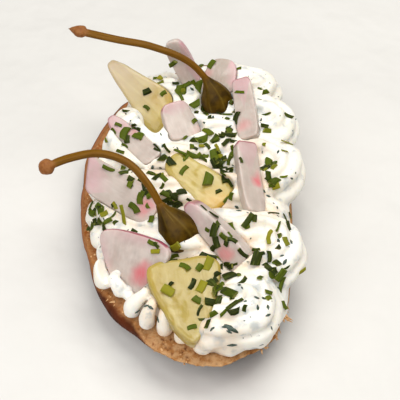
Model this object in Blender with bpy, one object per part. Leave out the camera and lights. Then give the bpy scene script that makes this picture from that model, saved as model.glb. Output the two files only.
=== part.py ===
"""An open sandwich: a toasted diagonal slice of baguette, piped with herb cream cheese and topped
with radish slices, wedges of yellow fruit and two long-stemmed caper berries.

The part's origin is the middle of the bread's underside and +Z is up. The slice's long axis runs
along Y. Toppings are placed from the middle of the bread's top face, which the empty
"topping_datum" marks. Lengths are worked out in millimetres and turned to metres by MM.
"""

from __future__ import annotations

import math
from collections.abc import Sequence
from dataclasses import dataclass

import bmesh
import bpy
import numpy as np
from mathutils import Matrix, Vector

MM = 0.001
GAP = 0.35  # clearance kept between touching pieces
CURVE_STEP = 1.2  # between points along a swept line
KNOT_STEPS = 24  # points worked out between two knots of a smooth line
TIP_SHARE = 0.4  # how far a swept piece's closed end stands out, as a share of its radius

# The bread: a slanting slab, because the loaf is cut on the diagonal.
BREAD_HALF_WIDTH = 31.0
BREAD_HALF_LENGTH = 60.0
BREAD_THICKNESS = 12.0
BREAD_TOP_SHIFT = (2.0, -14.0)  # how far the top face's middle lies from the underside's
BREAD_BOW = 5.0  # both ends bend this far towards +X
BREAD_SHARP_SIDE = 2.0  # superellipse exponent of the -X side
BREAD_BLUNT_SIDE = 2.6  # and of the fuller +X side
BREAD_SIDES = 64
CRUST_BULGE = 0.8
CRUST_WAVES = ((7, 0.6, 0.45), (13, 2.1, 0.32), (23, 4.0, 0.22))  # lobes, phase and depth
RIM_HEIGHT = 0.3
CRUST_SHARP_ANGLE = math.radians(50.0)  # steeper corners are shaded as edges
TEAR_ANGLE = math.radians(228.0)  # where the front rim is torn and the crust bellies out below it
TEAR_WIDTH = math.radians(14.0)
TEAR_DEPTH = 1.6
BELLY_DEPTH = 2.4

# The crust's side, from the underside up: height, inset from the outline, and the shares of the
# tear and of the belly that reach it.
CRUST_PROFILE = (
    (0.0, 1.6, 0.0, 0.2),
    (0.9, 0.3, 0.0, 0.4),
    (4.0, -CRUST_BULGE, 0.0, 0.9),
    (7.5, -CRUST_BULGE, 0.0, 1.0),
    (10.2, 0.0, 0.3, 0.6),
    (BREAD_THICKNESS - RIM_HEIGHT, 0.5, 1.0, 0.0),
    (BREAD_THICKNESS, 1.3, 1.0, 0.0),
)

# The cream: a fluted rope piped in a zigzag over a low bed.
ROPE_RADIUS = 6.6
ROPE_FLUTES = 8
FLUTE_DEPTH = 0.12
ROPE_HEIGHT = 5.6  # the rope's middle above the bread
ROPE_ROWS = (-51.5, -43.0, -33.0, -20.0, -3.5, 10.0, 19.5, 28.0, 36.0, 43.5)
ROPE_START = 1.0  # x of the first row's free end
ROPE_OVERHANG = (1.6, 3.6, 3.2, 3.0, 0.6)  # how far each turn on the +X side passes the bread's edge
ROPE_INSET = (17.0, 5.5, 4.0, 4.0)  # how far each turn on the -X side stays inside it
ROPE_WIDEST_TURN = 8.0
ROPE_TURN_LENGTH = 1.25  # a turn's reach along X, as a share of its radius
ROPE_TURN_STOPS = 9
ROPE_END_INSET = 2.0
ROPE_END_SHARE = 0.55  # of the rope's radius at its two cut ends
ROPE_SWELL = 0.05  # share of the radius by which the piping hand thickens and thins it
SWELL_LENGTH = 7.0  # over 2 pi, in millimetres along the rope, as are the two below
SIDEWAYS_LENGTH = 9.0
UP_AND_DOWN_LENGTH = 13.0
ROPE_SIDES = 32
ROPE_WAVER = 1.0  # how far the rope strays from its line
BED_MIDDLE = (5.0, -1.5)
BED_HALF_WIDTH = 25.6
BED_HALF_LENGTH = 53.0
BED_HEIGHT = 6.0
BED_FOOT = -2.0  # the bed starts below the bread's top and is cut level with it
BED_PROFILE = ((0.97, BED_FOOT), (1.0, 1.0), (0.98, BED_HEIGHT - 2.0), (0.92, BED_HEIGHT))  # scale, height
CREAM_VOXEL = 1.0
CREAM_KEPT = 0.11  # share of the triangles that the thinning keeps

# The fan of ridges on the cream's front left edge.
FAN_START = math.radians(207.0)
FAN_END = math.radians(264.0)
FAN_PITCH = 6.0  # between ridges, along the bread's edge
FAN_RADIUS = 2.7
FAN_HEADING = (0.66, 0.75)  # the way the ridges run in, on average
FAN_FOOT_INSET = (2.4, 7.4)  # from the bread's edge to the first and the last ridge's foot
FAN_REACH = 10.5  # how far a ridge runs in from its foot
FAN_FOOT_HEIGHT = 2.2
FAN_TOP_HEIGHT = 8.8
FAN_CURVE = ((0.0, 0.0), (0.16, 0.46), (0.5, 0.94), (1.0, 1.0))  # shares of the reach and the climb
FAN_EDGE_STEPS = 90
FINGER_SIDES = 16

# Soft lobes where the rope slumps between its turns: x, y, height and radius.
SOFT_LOBES = (
    (3.2, -51.4, 4.2, 6.0),
    (12.4, -54.2, 4.2, 5.8),
    (20.6, -50.4, 4.4, 5.8),
    (26.0, -43.0, 4.6, 5.6),
    (26.4, -11.8, 5.0, 6.4),
)
LOBE_TILTS = np.radians([-60.0, -30.0, 0.0, 30.0, 60.0])  # latitudes of a lobe's rings

BERRY_RADIUS = 4.6
BERRY_LENGTH = 15.0
STEM_RADIUS = 0.95
KNOB_RADIUS = 2.3
KNOB_LENGTH = 4.6
BERRY_SIDES = 8
BERRY_RINGS = np.linspace(0.11, 0.94, 9) * math.pi  # along the body, as the angle from its buried end
STEM_RINGS = 11
STEM_SWELL = 0.25  # how much thicker the stem is at the knob
KNOB_STOPS = (1.0, 0.72, 0.42, 0.12, 0.0)  # rings along the knob

SLAB_SIDES = 16
SLAB_BEVEL = 0.8
SLAB_BEVEL_SHARE = 0.22  # of the thickness, for the thin slices


@dataclass(frozen=True)
class Pose:
    """Place of a topping over the bread's top face.

    x, y and z are its middle in millimetres. yaw is the heading of its long axis from +X towards
    +Y, pitch is that axis' rise and roll lifts its left side, all in degrees.
    """

    x: float
    y: float
    z: float
    yaw: float
    pitch: float
    roll: float

    def matrix(self) -> Matrix:
        """Returns the topping's place as a matrix in metres."""
        turn = (
            Matrix.Rotation(math.radians(self.yaw), 4, "Z")
            @ Matrix.Rotation(math.radians(-self.pitch), 4, "Y")
            @ Matrix.Rotation(math.radians(self.roll), 4, "X")
        )
        return Matrix.Translation(Vector((self.x, self.y, self.z)) * MM) @ turn


@dataclass(frozen=True)
class Slab:
    """A topping cut as a slab: long axis X, its outer (skin) end at +X.

    Widths, length and thickness are in millimetres. The roundness values are the outline's
    superellipse exponents at each end: 2 is round and large values are square. press is the
    height over the topping that its fall into the cream has cleared.
    """

    name: str
    pose: Pose
    length: float
    outer_width: float
    inner_width: float
    thickness: float
    outer_roundness: float = 3.2
    inner_roundness: float = 5.0
    press: float = 7.0


RADISHES = (
    Slab("radish_near", Pose(-12.9, -33.0, 10.8, 90, 50, 6), 16.5, 21.5, 12.0, 2.4, 3.6, 3.0, 2.0),
    Slab("radish_left", Pose(-18.4, -7.4, 11.6, 151, 4, -22), 23.0, 9.0, 8.0, 2.6, 6.0),
    Slab("radish_left_back", Pose(-16.0, 13.6, 11.6, 131, 6, -12), 20.0, 7.0, 8.0, 2.4),
    Slab("radish_back", Pose(-0.2, 42.2, 16.4, 147, 58, -60), 16.5, 6.2, 6.4, 2.6, press=0.0),
    Slab("radish_middle", Pose(-0.4, 21.9, 12.0, 100, 38, 4), 11.8, 9.6, 8.4, 2.4, press=5.0),
    Slab("radish_far", Pose(11.4, 42.2, 11.4, 82, 11, 10), 12.6, 9.0, 9.0, 2.4),
    Slab("radish_right_back", Pose(18.4, 25.6, 12.8, 95, 7, 20), 23.6, 6.4, 7.0, 2.8),
    Slab("radish_right", Pose(18.8, -3.8, 12.8, 96, 7, 32), 25.2, 7.6, 7.6, 3.2),
    Slab("radish_centre", Pose(7.6, -23.0, 12.6, 132, 15, -42), 21.0, 4.4, 12.0, 2.6),
)
FRUITS = (
    Slab("fruit_near", Pose(1.3, -45.6, 9.4, 98, 13, 0), 24.6, 20.0, 9.0, 8.0, 4.0, 3.0),
    Slab("fruit_middle", Pose(3.3, -1.6, 12.2, -45, -5, -18), 24.0, 11.0, 8.0, 8.0, 4.0, 3.6),
    Slab("fruit_far", Pose(-13.8, 29.6, 13.5, -52, -22, 0), 27.0, 17.6, 3.6, 6.6, 4.0, 2.6),
)

# Pairs that press on each other: the first is cut away where the second touches it.
LEANS = (
    ("fruit_far", "radish_middle"),
    ("radish_near", "fruit_near"),
    ("radish_centre", "caper_berry_near"),
)

# Each berry's middle line, from its buried end up through the neck and along the stem.
BERRY_LINES = {
    "caper_berry_near": (
        (0.8, -22.8, 4.6),
        (-2.3, -21.0, 10.4),
        (-6.3, -18.6, 16.8),
        (-10.0, -14.6, 21.8),
        (-15.6, -9.4, 24.8),
        (-23.5, -6.8, 25.8),
        (-31.8, -7.6, 24.8),
        (-39.0, -9.8, 22.8),
    ),
    "caper_berry_far": (
        (13.2, 26.8, 4.8),
        (10.4, 30.8, 10.6),
        (6.2, 34.6, 16.8),
        (0.0, 37.0, 22.0),
        (-10.8, 38.9, 25.8),
        (-21.5, 40.4, 27.2),
        (-33.8, 44.2, 27.6),
    ),
}


def superellipse(angles: np.ndarray, exponent: np.ndarray) -> tuple[np.ndarray, np.ndarray]:
    """Returns the unit superellipse's x and y at each angle, for one exponent or one per angle."""
    cosine, sine = np.cos(angles), np.sin(angles)
    power = 2.0 / exponent
    return np.sign(cosine) * np.abs(cosine) ** power, np.sign(sine) * np.abs(sine) ** power


def bread_outline(angles: np.ndarray) -> np.ndarray:
    """Returns the bread's outline in millimetres about its middle, one point for each angle."""
    exponent = np.where(np.cos(angles) > 0.0, BREAD_BLUNT_SIDE, BREAD_SHARP_SIDE)
    unit_x, unit_y = superellipse(angles, exponent)
    return np.stack(
        [BREAD_HALF_WIDTH * unit_x + BREAD_BOW * unit_y**2, BREAD_HALF_LENGTH * unit_y], axis=1
    )


def bread_edge(y: float, side: int) -> float:
    """Returns the x of the bread's edge at a given y, on the side +1 or -1."""
    share = min(abs(y) / BREAD_HALF_LENGTH, 1.0)
    exponent = BREAD_BLUNT_SIDE if side > 0 else BREAD_SHARP_SIDE
    return side * BREAD_HALF_WIDTH * (1.0 - share**exponent) ** (1.0 / exponent) + BREAD_BOW * share**2


def slab_outline(slab: Slab, grow: float) -> np.ndarray:
    """Returns a topping's outline: a superellipse whose width changes evenly along its length.

    Args:
        slab: The topping.
        grow: How far the outline is widened, in millimetres.
    """
    angles = 2.0 * math.pi * (np.arange(SLAB_SIDES) + 0.5) / SLAB_SIDES
    exponent = np.where(np.cos(angles) > 0.0, slab.outer_roundness, slab.inner_roundness)
    unit_x, unit_y = superellipse(angles, exponent)
    width = slab.inner_width + (slab.outer_width - slab.inner_width) * (unit_x + 1.0) / 2.0
    return np.stack([(slab.length / 2.0 + grow) * unit_x, (width / 2.0 + grow) * unit_y], axis=1)


def smooth_line(points: Sequence, step: float) -> np.ndarray:
    """Returns evenly spaced points on a Catmull-Rom curve through the given points."""
    knots = np.array(points, float)
    knots = np.vstack([2 * knots[0] - knots[1], knots, 2 * knots[-1] - knots[-2]])
    fine = []
    for first, start, end, last in zip(knots, knots[1:], knots[2:], knots[3:]):
        t = np.linspace(0.0, 1.0, KNOT_STEPS, endpoint=False)[:, None]
        fine.append(
            0.5
            * (
                2 * start
                + (end - first) * t
                + (2 * first - 5 * start + 4 * end - last) * t**2
                + (3 * start - first - 3 * end + last) * t**3
            )
        )
    return resample(np.vstack([*fine, knots[-2:-1]]), step)


def resample(line: np.ndarray, step: float) -> np.ndarray:
    """Returns the line with points about one step apart, its ends kept."""
    reach = np.concatenate([[0.0], np.cumsum(np.linalg.norm(np.diff(line, axis=0), axis=1))])
    stops = np.linspace(0.0, reach[-1], max(2, round(reach[-1] / step) + 1))
    return np.stack([np.interp(stops, reach, line[:, axis]) for axis in range(3)], axis=1)


def sweep(
    line: np.ndarray, radii: np.ndarray, sides: int, flutes: int = 0, depth: float = 0.0
) -> tuple[list, list]:
    """Sweeps a fluted circle along a line and closes both ends with a point.

    Args:
        line: Points of the middle line.
        radii: The circle's radius at each point.
        sides: Points around the circle.
        flutes: Number of ridges around it, or 0.
        depth: Share of the radius that the ridges add and take away.

    Returns:
        The points and the faces, which point out.
    """
    tangents = np.gradient(line, axis=0)
    tangents /= np.linalg.norm(tangents, axis=1)[:, None]
    upright = abs(tangents[0][2]) > 0.9
    across = np.cross(tangents[0], (1.0, 0.0, 0.0) if upright else (0.0, 0.0, 1.0))
    frames = []
    for tangent in tangents:
        across = across - tangent * (across @ tangent)
        across /= np.linalg.norm(across)
        frames.append((across.copy(), np.cross(tangent, across)))
    sides_u = np.array([frame[0] for frame in frames])
    sides_v = np.array([frame[1] for frame in frames])
    angles = 2.0 * math.pi * np.arange(sides) / sides
    swell = radii[:, None] * (1.0 + depth * np.cos(flutes * angles))[None, :]
    rings = (
        line[:, None, :]
        + sides_u[:, None, :] * (swell * np.cos(angles))[:, :, None]
        + sides_v[:, None, :] * (swell * np.sin(angles))[:, :, None]
    )
    first_tip = line[0] - tangents[0] * radii[0] * TIP_SHARE
    last_tip = line[-1] + tangents[-1] * radii[-1] * TIP_SHARE
    return closed_rings(rings, first_tip, last_tip)


def closed_rings(rings: np.ndarray, first_tip: np.ndarray, last_tip: np.ndarray) -> tuple[list, list]:
    """Joins rings of points into a closed skin with a tip at each end.

    The rings turn anticlockwise as seen from the last one, so that the faces point out.
    """
    count, sides, _ = rings.shape
    points = [*rings.reshape(-1, 3).tolist(), list(first_tip), list(last_tip)]
    faces = []
    for ring in range(count - 1):
        low, high = ring * sides, (ring + 1) * sides
        for side in range(sides):
            after = (side + 1) % sides
            faces.append((low + side, low + after, high + after, high + side))
    top = (count - 1) * sides
    for side in range(sides):
        after = (side + 1) % sides
        faces.append((count * sides, after, side))
        faces.append((count * sides + 1, top + side, top + after))
    return points, faces


def slab_mesh(slab: Slab, grow: float, press: float = 0.0) -> tuple[list, list]:
    """Returns a topping as rings that run from its lower face round its edge to its upper face.

    Args:
        slab: The topping.
        grow: How far every face moves out, in millimetres.
        press: How much further the upper face moves.
    """
    outline = slab_outline(slab, grow)
    half = slab.thickness / 2.0 + grow
    bevel = min(SLAB_BEVEL, slab.thickness * SLAB_BEVEL_SHARE)
    shrink = 1.0 - 2.0 * bevel / (min(slab.inner_width, slab.outer_width) + 2.0 * grow)
    rings = [
        np.column_stack([outline * scale, np.full(len(outline), height)])
        for scale, height in (
            (shrink, -half),
            (1.0, bevel - half),
            (1.0, half - bevel + press),
            (shrink, half + press),
        )
    ]
    return closed_rings(np.array(rings), np.array([0.0, 0.0, -half]), np.array([0.0, 0.0, half + press]))


def new_material(name: str, colour: tuple[float, float, float], roughness: float) -> bpy.types.Material:
    """Returns a plain Principled material.

    Args:
        name: The material's name.
        colour: Linear red, green and blue.
        roughness: The shader's roughness.
    """
    material = bpy.data.materials.new(name)
    material.use_nodes = True
    shader = material.node_tree.nodes["Principled BSDF"]
    shader.inputs["Base Color"].default_value = (*colour, 1.0)
    shader.inputs["Roughness"].default_value = roughness
    shader.inputs["Metallic"].default_value = 0.0
    return material


def new_object(name: str, shape: tuple[list, list], material: bpy.types.Material | None) -> bpy.types.Object:
    """Makes a smooth-shaded object from points in millimetres."""
    points, faces = shape
    mesh = bpy.data.meshes.new(name)
    mesh.from_pydata([[value * MM for value in point] for point in points], [], faces)
    mesh.update()
    mesh.shade_smooth()
    if material is not None:
        mesh.materials.append(material)
    made = bpy.data.objects.new(name, mesh)
    bpy.context.scene.collection.objects.link(made)
    return made


def as_cutter(cutter: bpy.types.Object) -> bpy.types.Object:
    """Marks an object as a helper that only cuts others."""
    cutter.hide_render = True
    cutter.display_type = "WIRE"
    return cutter


def cut(piece: bpy.types.Object, cutter: bpy.types.Object) -> None:
    """Takes a cutter's shape out of a piece with a Boolean modifier."""
    boolean = piece.modifiers.new(f"clear_of_{cutter.name}", "BOOLEAN")
    boolean.operation = "DIFFERENCE"
    boolean.object = cutter


def make_bread(material: bpy.types.Material) -> bpy.types.Object:
    """Makes the slice: rings of the outline that climb and slide from the underside to the top."""
    angles = 2.0 * math.pi * np.arange(BREAD_SIDES) / BREAD_SIDES
    outline = bread_outline(angles)
    outward = outline / np.linalg.norm(outline, axis=1)[:, None]
    wobble = sum(depth * np.sin(lobes * angles + phase) for lobes, phase, depth in CRUST_WAVES)
    turned = (angles - TEAR_ANGLE + math.pi) % (2.0 * math.pi) - math.pi
    torn_part = np.exp(-((turned / TEAR_WIDTH) ** 2))
    tear = TEAR_DEPTH * torn_part
    belly = BELLY_DEPTH * torn_part
    rings = []
    for height, inset, torn, swollen in CRUST_PROFILE:
        rise = height / BREAD_THICKNESS
        shift = np.array(BREAD_TOP_SHIFT) * rise
        inset_all = inset + tear * torn - belly * swollen - wobble * (1.0 + 2.0 * rise) / 3.0
        ring = outline - outward * inset_all[:, None] + shift
        rings.append(np.column_stack([ring, np.full(BREAD_SIDES, height)]))
    top = np.array([*BREAD_TOP_SHIFT, BREAD_THICKNESS])
    bread = new_object("bread_slice", closed_rings(np.array(rings), np.zeros(3), top), material)
    bread.data.set_sharp_from_angle(angle=CRUST_SHARP_ANGLE)
    return bread


def rope_line() -> np.ndarray:
    """Returns the zigzag's middle line: straight rows joined by half rings at alternate edges."""
    line = []
    side = 1
    for turn_number, (low, high) in enumerate(zip(ROPE_ROWS, ROPE_ROWS[1:])):
        radius = (high - low) / 2.0
        middle = (low + high) / 2.0
        reach = ROPE_OVERHANG[turn_number // 2] if side > 0 else -ROPE_INSET[turn_number // 2]
        apex = bread_edge(middle, side) + side * (reach - ROPE_RADIUS)
        bend = min(radius * ROPE_TURN_LENGTH, ROPE_WIDEST_TURN)
        line.extend(
            (apex + side * bend * (math.cos(turn) - 1.0), middle + radius * math.sin(turn), ROPE_HEIGHT)
            for turn in np.linspace(-math.pi / 2.0, math.pi / 2.0, ROPE_TURN_STOPS)
        )
        side = -side
    first = (ROPE_START, ROPE_ROWS[0], ROPE_HEIGHT)
    last_x = bread_edge(ROPE_ROWS[-1], side) - side * (ROPE_RADIUS + ROPE_END_INSET)
    last = (last_x, ROPE_ROWS[-1], ROPE_HEIGHT)
    path = resample(np.array([first, *line, last]), CURVE_STEP)
    along = np.arange(len(path)) * CURVE_STEP
    path[:, 1] += ROPE_WAVER * np.sin(along / SIDEWAYS_LENGTH)
    path[:, 2] += ROPE_WAVER * np.sin(along / UP_AND_DOWN_LENGTH + 1.0)
    return path


def rope_shape() -> tuple[list, list]:
    """Sweeps the star nozzle's fluted ring along the zigzag, thinner at its two ends."""
    path = rope_line()
    along = np.arange(len(path)) * CURVE_STEP
    radii = ROPE_RADIUS * (1.0 + ROPE_SWELL * np.sin(along / SWELL_LENGTH))
    radii *= np.clip(np.minimum(along, along[-1] - along) / ROPE_RADIUS + ROPE_END_SHARE, 0.0, 1.0)
    return sweep(path, radii, ROPE_SIDES, ROPE_FLUTES, FLUTE_DEPTH)


def bed_shape() -> tuple[list, list]:
    """Returns the low bed under the rope: the bread's outline, drawn in and rounded at the top."""
    angles = 2.0 * math.pi * np.arange(BREAD_SIDES) / BREAD_SIDES
    bed_size = np.array([BED_HALF_WIDTH / BREAD_HALF_WIDTH, BED_HALF_LENGTH / BREAD_HALF_LENGTH])
    outline = bread_outline(angles) * bed_size
    rings = [
        np.column_stack([outline * scale + BED_MIDDLE, np.full(BREAD_SIDES, height)])
        for scale, height in BED_PROFILE
    ]
    low, high = (np.array([*BED_MIDDLE, height]) for height in (BED_FOOT, BED_HEIGHT))
    return closed_rings(np.array(rings), low, high)


def fan_shapes() -> list:
    """Returns the fan: round ridges that climb from the front left rim in over the bed."""
    arc = np.linspace(FAN_START, FAN_END, FAN_EDGE_STEPS)
    edge_line = resample(np.column_stack([bread_outline(arc), np.zeros(len(arc))]), FAN_PITCH)[:, :2]
    edge_normals = np.gradient(edge_line, axis=0)[:, ::-1] * (-1.0, 1.0)
    climb = FAN_TOP_HEIGHT - FAN_FOOT_HEIGHT
    ridges = []
    for edge, normal, inset in zip(edge_line, edge_normals, np.linspace(*FAN_FOOT_INSET, len(edge_line))):
        inward = normal / np.linalg.norm(normal) - edge / np.linalg.norm(edge)
        inward = inward / np.linalg.norm(inward) + FAN_HEADING
        inward /= np.linalg.norm(inward)
        foot = edge + inward * inset
        knots = [
            (*(foot + inward * FAN_REACH * reach), FAN_FOOT_HEIGHT + climb * rise)
            for reach, rise in FAN_CURVE
        ]
        line = smooth_line(knots, CURVE_STEP)
        ridges.append(sweep(line, np.full(len(line), FAN_RADIUS), FINGER_SIDES))
    return ridges


def lobe_shapes() -> list:
    """Returns the soft lobes as upright balls."""
    balls = []
    for x, y, height, radius in SOFT_LOBES:
        line = np.array([(x, y, height + radius * rise) for rise in np.sin(LOBE_TILTS)])
        balls.append(sweep(line, radius * np.cos(LOBE_TILTS), FINGER_SIDES))
    return balls


def make_cream(material: bpy.types.Material) -> bpy.types.Object:
    """Melts the rope, the bed, the fan and the lobes into one skin and thins its triangles."""
    points: list = []
    faces: list = []
    for part_points, part_faces in [rope_shape(), bed_shape(), *fan_shapes(), *lobe_shapes()]:
        start = len(points)
        points.extend(part_points)
        faces.extend(tuple(start + index for index in face) for face in part_faces)
    cream = new_object("herb_cream", (points, faces), material)
    melt = cream.modifiers.new("melt", "REMESH")
    melt.mode = "VOXEL"
    melt.voxel_size = CREAM_VOXEL * MM
    melt.use_smooth_shade = True
    thin = cream.modifiers.new("thin", "DECIMATE")
    thin.ratio = CREAM_KEPT
    return cream


def make_berry(name: str, line: tuple, material: bpy.types.Material, grow: float) -> bpy.types.Object:
    """Makes a berry, its stem and the knob at the stem's end as one swept solid."""
    path = smooth_line(line, CURVE_STEP)
    reach = np.concatenate([[0.0], np.cumsum(np.linalg.norm(np.diff(path, axis=0), axis=1))])
    total = reach[-1]
    body_stops = BERRY_LENGTH * (1.0 - np.cos(BERRY_RINGS)) / 2.0
    stem_stops = np.linspace(BERRY_LENGTH + CURVE_STEP, total - KNOB_LENGTH - CURVE_STEP, STEM_RINGS)
    knob_stops = total - KNOB_LENGTH * np.array(KNOB_STOPS)
    stops = np.concatenate([body_stops, stem_stops, knob_stops])
    body = BERRY_RADIUS * np.sqrt(np.clip(1.0 - (2.0 * stops / BERRY_LENGTH - 1.0) ** 2, 0.0, 1.0))
    knob = KNOB_RADIUS * np.sqrt(np.clip(1.0 - (2.0 * (total - stops) / KNOB_LENGTH - 1.0) ** 2, 0.0, 1.0))
    stem = STEM_RADIUS * (1.0 + STEM_SWELL * stops / total)
    radii = np.maximum(np.where(stops < BERRY_LENGTH * 0.5, 0.0, stem), np.maximum(body, knob)) + grow
    middle = np.stack([np.interp(stops, reach, path[:, axis]) for axis in range(3)], axis=1)
    return new_object(name, sweep(middle, radii, BERRY_SIDES), material)


def keep_largest_body(piece: bpy.types.Object) -> None:
    """Applies a piece's modifiers and keeps the biggest of the bodies that the cuts leave."""
    graph = bpy.context.evaluated_depsgraph_get()
    mesh = bpy.data.meshes.new_from_object(piece.evaluated_get(graph))
    piece.modifiers.clear()
    worked = bmesh.new()
    worked.from_mesh(mesh)
    islands = []
    seen: set = set()
    for start in worked.verts:
        if start in seen:
            continue
        island = [start]
        seen.add(start)
        for vertex in island:
            for edge in vertex.link_edges:
                other = edge.other_vert(vertex)
                if other not in seen:
                    seen.add(other)
                    island.append(other)
        islands.append(island)
    islands.sort(key=len)
    for island in islands[:-1]:
        bmesh.ops.delete(worked, geom=island, context="VERTS")
    worked.to_mesh(mesh)
    worked.free()
    piece.data = mesh


def make_top_cutter() -> bpy.types.Object:
    """Makes the block that keeps the cream clear of the bread's top face."""
    size = 3.0 * BREAD_HALF_LENGTH * MM
    mesh = bpy.data.meshes.new("bread_top_cutter")
    worked = bmesh.new()
    bmesh.ops.create_cube(worked, size=size)
    bmesh.ops.translate(worked, verts=worked.verts, vec=(0.0, 0.0, GAP * MM - size / 2.0))
    worked.to_mesh(mesh)
    worked.free()
    block = bpy.data.objects.new("bread_top_cutter", mesh)
    bpy.context.scene.collection.objects.link(block)
    return as_cutter(block)


def make_toppings(datum: bpy.types.Object) -> list:
    """Makes every topping on the datum, cuts those that lean on each other, and returns the cutters."""
    radish = new_material("radish_flesh", (0.72, 0.55, 0.52), 0.35)
    fruit = new_material("yellow_fruit_flesh", (0.62, 0.5, 0.2), 0.4)
    caper = new_material("pickled_caper_skin", (0.13, 0.08, 0.015), 0.35)
    toppings = {}
    cutters = {}
    for slab, material in [(slab, radish) for slab in RADISHES] + [(slab, fruit) for slab in FRUITS]:
        toppings[slab.name] = new_object(slab.name, slab_mesh(slab, 0.0), material)
        grown = slab_mesh(slab, GAP, slab.press)
        cutters[slab.name] = as_cutter(new_object(f"{slab.name}_cutter", grown, None))
        for item in (toppings[slab.name], cutters[slab.name]):
            item.matrix_local = slab.pose.matrix()
    for name, line in BERRY_LINES.items():
        toppings[name] = make_berry(name, line, caper, 0.0)
        cutters[name] = as_cutter(make_berry(f"{name}_cutter", line, None, GAP))
    for item in (*toppings.values(), *cutters.values()):
        item.parent = datum
    for under, over in LEANS:
        cut(toppings[under], cutters[over])
    return list(cutters.values())


def main() -> None:
    """Clears the scene and makes the sandwich from the bread up."""
    for old in list(bpy.data.objects):
        bpy.data.objects.remove(old, do_unlink=True)

    datum = bpy.data.objects.new("topping_datum", None)
    bpy.context.scene.collection.objects.link(datum)
    datum.location = Vector((*BREAD_TOP_SHIFT, BREAD_THICKNESS)) * MM

    make_bread(new_material("toasted_bread", (0.42, 0.21, 0.09), 0.85))
    cream = make_cream(new_material("herb_cream_cheese", (0.78, 0.74, 0.66), 0.5))
    top_cutter = make_top_cutter()
    cream.parent = datum
    top_cutter.parent = datum
    for cutter in (top_cutter, *make_toppings(datum)):
        cut(cream, cutter)
    bpy.context.view_layer.update()
    keep_largest_body(cream)


if __name__ == "__main__":
    main()
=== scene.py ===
"""Dresses an open sandwich: a toasted diagonal slice of baguette with piped herb cream cheese, radish
slices, wedges of yellow fruit, two caper berries and chopped chives, on a pale studio floor.

Shapes are worked out in millimetres in the slice's own frame: its origin is the middle of the
bread's top face, +Z is up and the slice's long axis runs along Y. SLICE_ORIGIN and MM turn that
into the frame's metres.
"""

from __future__ import annotations

import logging
import math
from collections.abc import Sequence
from dataclasses import dataclass, field
from enum import Enum
from typing import NamedTuple

import bpy
import numpy as np
from mathutils import Euler, Matrix, Vector
from mathutils.bvhtree import BVHTree


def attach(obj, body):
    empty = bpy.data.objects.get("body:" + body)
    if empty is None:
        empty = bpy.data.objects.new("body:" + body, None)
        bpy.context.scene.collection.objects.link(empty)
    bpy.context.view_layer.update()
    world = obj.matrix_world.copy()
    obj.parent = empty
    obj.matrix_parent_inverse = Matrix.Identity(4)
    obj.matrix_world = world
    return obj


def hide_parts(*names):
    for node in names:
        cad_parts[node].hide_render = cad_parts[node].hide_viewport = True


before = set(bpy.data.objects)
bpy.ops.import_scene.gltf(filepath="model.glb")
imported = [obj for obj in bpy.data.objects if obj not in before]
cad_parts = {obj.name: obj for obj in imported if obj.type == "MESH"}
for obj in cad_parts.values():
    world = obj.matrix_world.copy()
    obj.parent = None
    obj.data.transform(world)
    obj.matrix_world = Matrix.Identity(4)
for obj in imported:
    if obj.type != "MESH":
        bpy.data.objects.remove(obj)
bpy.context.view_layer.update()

log = logging.getLogger("open_sandwich")

Socket = bpy.types.NodeSocket
Material = bpy.types.Material
Piece = bpy.types.Object

MM = 0.001  # a millimetre in metres
TINY = 1e-9  # added to a vector that may be zero before it is brought to length one
SLICE_ORIGIN = np.array([2.0, -14.0, 12.0])  # of the slice's frame, in the part's frame
ROOT_BODY = "root"


# ---------------------------------------------------------------- noise


CORNERS = np.array([(x, y, z) for x in (0, 1) for y in (0, 1) for z in (0, 1)])
NEIGHBOURS = np.array([(x, y, z) for x in (-1, 0, 1) for y in (-1, 0, 1) for z in (-1, 0, 1)])
HASH_PRIMES = np.array([73856093, 19349663, 83492791])
SEED_STEP = 1013904223  # how far apart two seeds start
MIXERS = ((15, 2246822519), (13, 3266489917))  # the shift and the odd multiplier of each round
LAST_SHIFT = 16
LOW_BITS = 0xFFFFFFFF


def corner_hash(cells: np.ndarray, seed: int) -> np.ndarray:
    """Gives each whole-numbered lattice point a value from 0 to 1.

    Its coordinates are multiplied by large primes and added, and the sum is mixed by shifts.

    Args:
        cells: Lattice points, one a row.
        seed: Which of the endless fields to take.

    Returns:
        One value for each row.
    """
    mixed = (cells.astype(np.int64) @ HASH_PRIMES + seed * SEED_STEP) & LOW_BITS
    for shift, multiplier in MIXERS:
        mixed = ((mixed ^ (mixed >> shift)) * multiplier) & LOW_BITS
    return (mixed ^ (mixed >> LAST_SHIFT)) / LOW_BITS


def value_noise(points: np.ndarray, size: float, seed: int) -> np.ndarray:
    """Returns smooth noise from -1 to 1: the corners' values blended by a smooth step.

    Args:
        points: Places in millimetres, one a row.
        size: Width of a lattice cell in millimetres.
        seed: Which field to take.
    """
    scaled = points / size
    base = np.floor(scaled)
    share = scaled - base
    share = share * share * (3.0 - 2.0 * share)
    total = np.zeros(len(points))
    for corner in CORNERS:
        weight = np.prod(np.where(corner, share, 1.0 - share), axis=1)
        total += weight * corner_hash(base + corner, seed)
    return 2.0 * total - 1.0


def fractal_noise(points: np.ndarray, size: float, octaves: int, seed: int) -> np.ndarray:
    """Adds octaves of value noise, each half as wide and half as strong as the one before."""
    layers = [value_noise(points, size / 2**k, seed + k) / 2**k for k in range(octaves)]
    return sum(layers) / (2.0 - 2.0 ** (1 - octaves))


def vector_noise(points: np.ndarray, size: float, octaves: int, seed: int) -> np.ndarray:
    """Returns fractal noise along each of the three axes."""
    return np.stack([fractal_noise(points, size, octaves, seed + axis) for axis in range(3)], axis=1)


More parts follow.
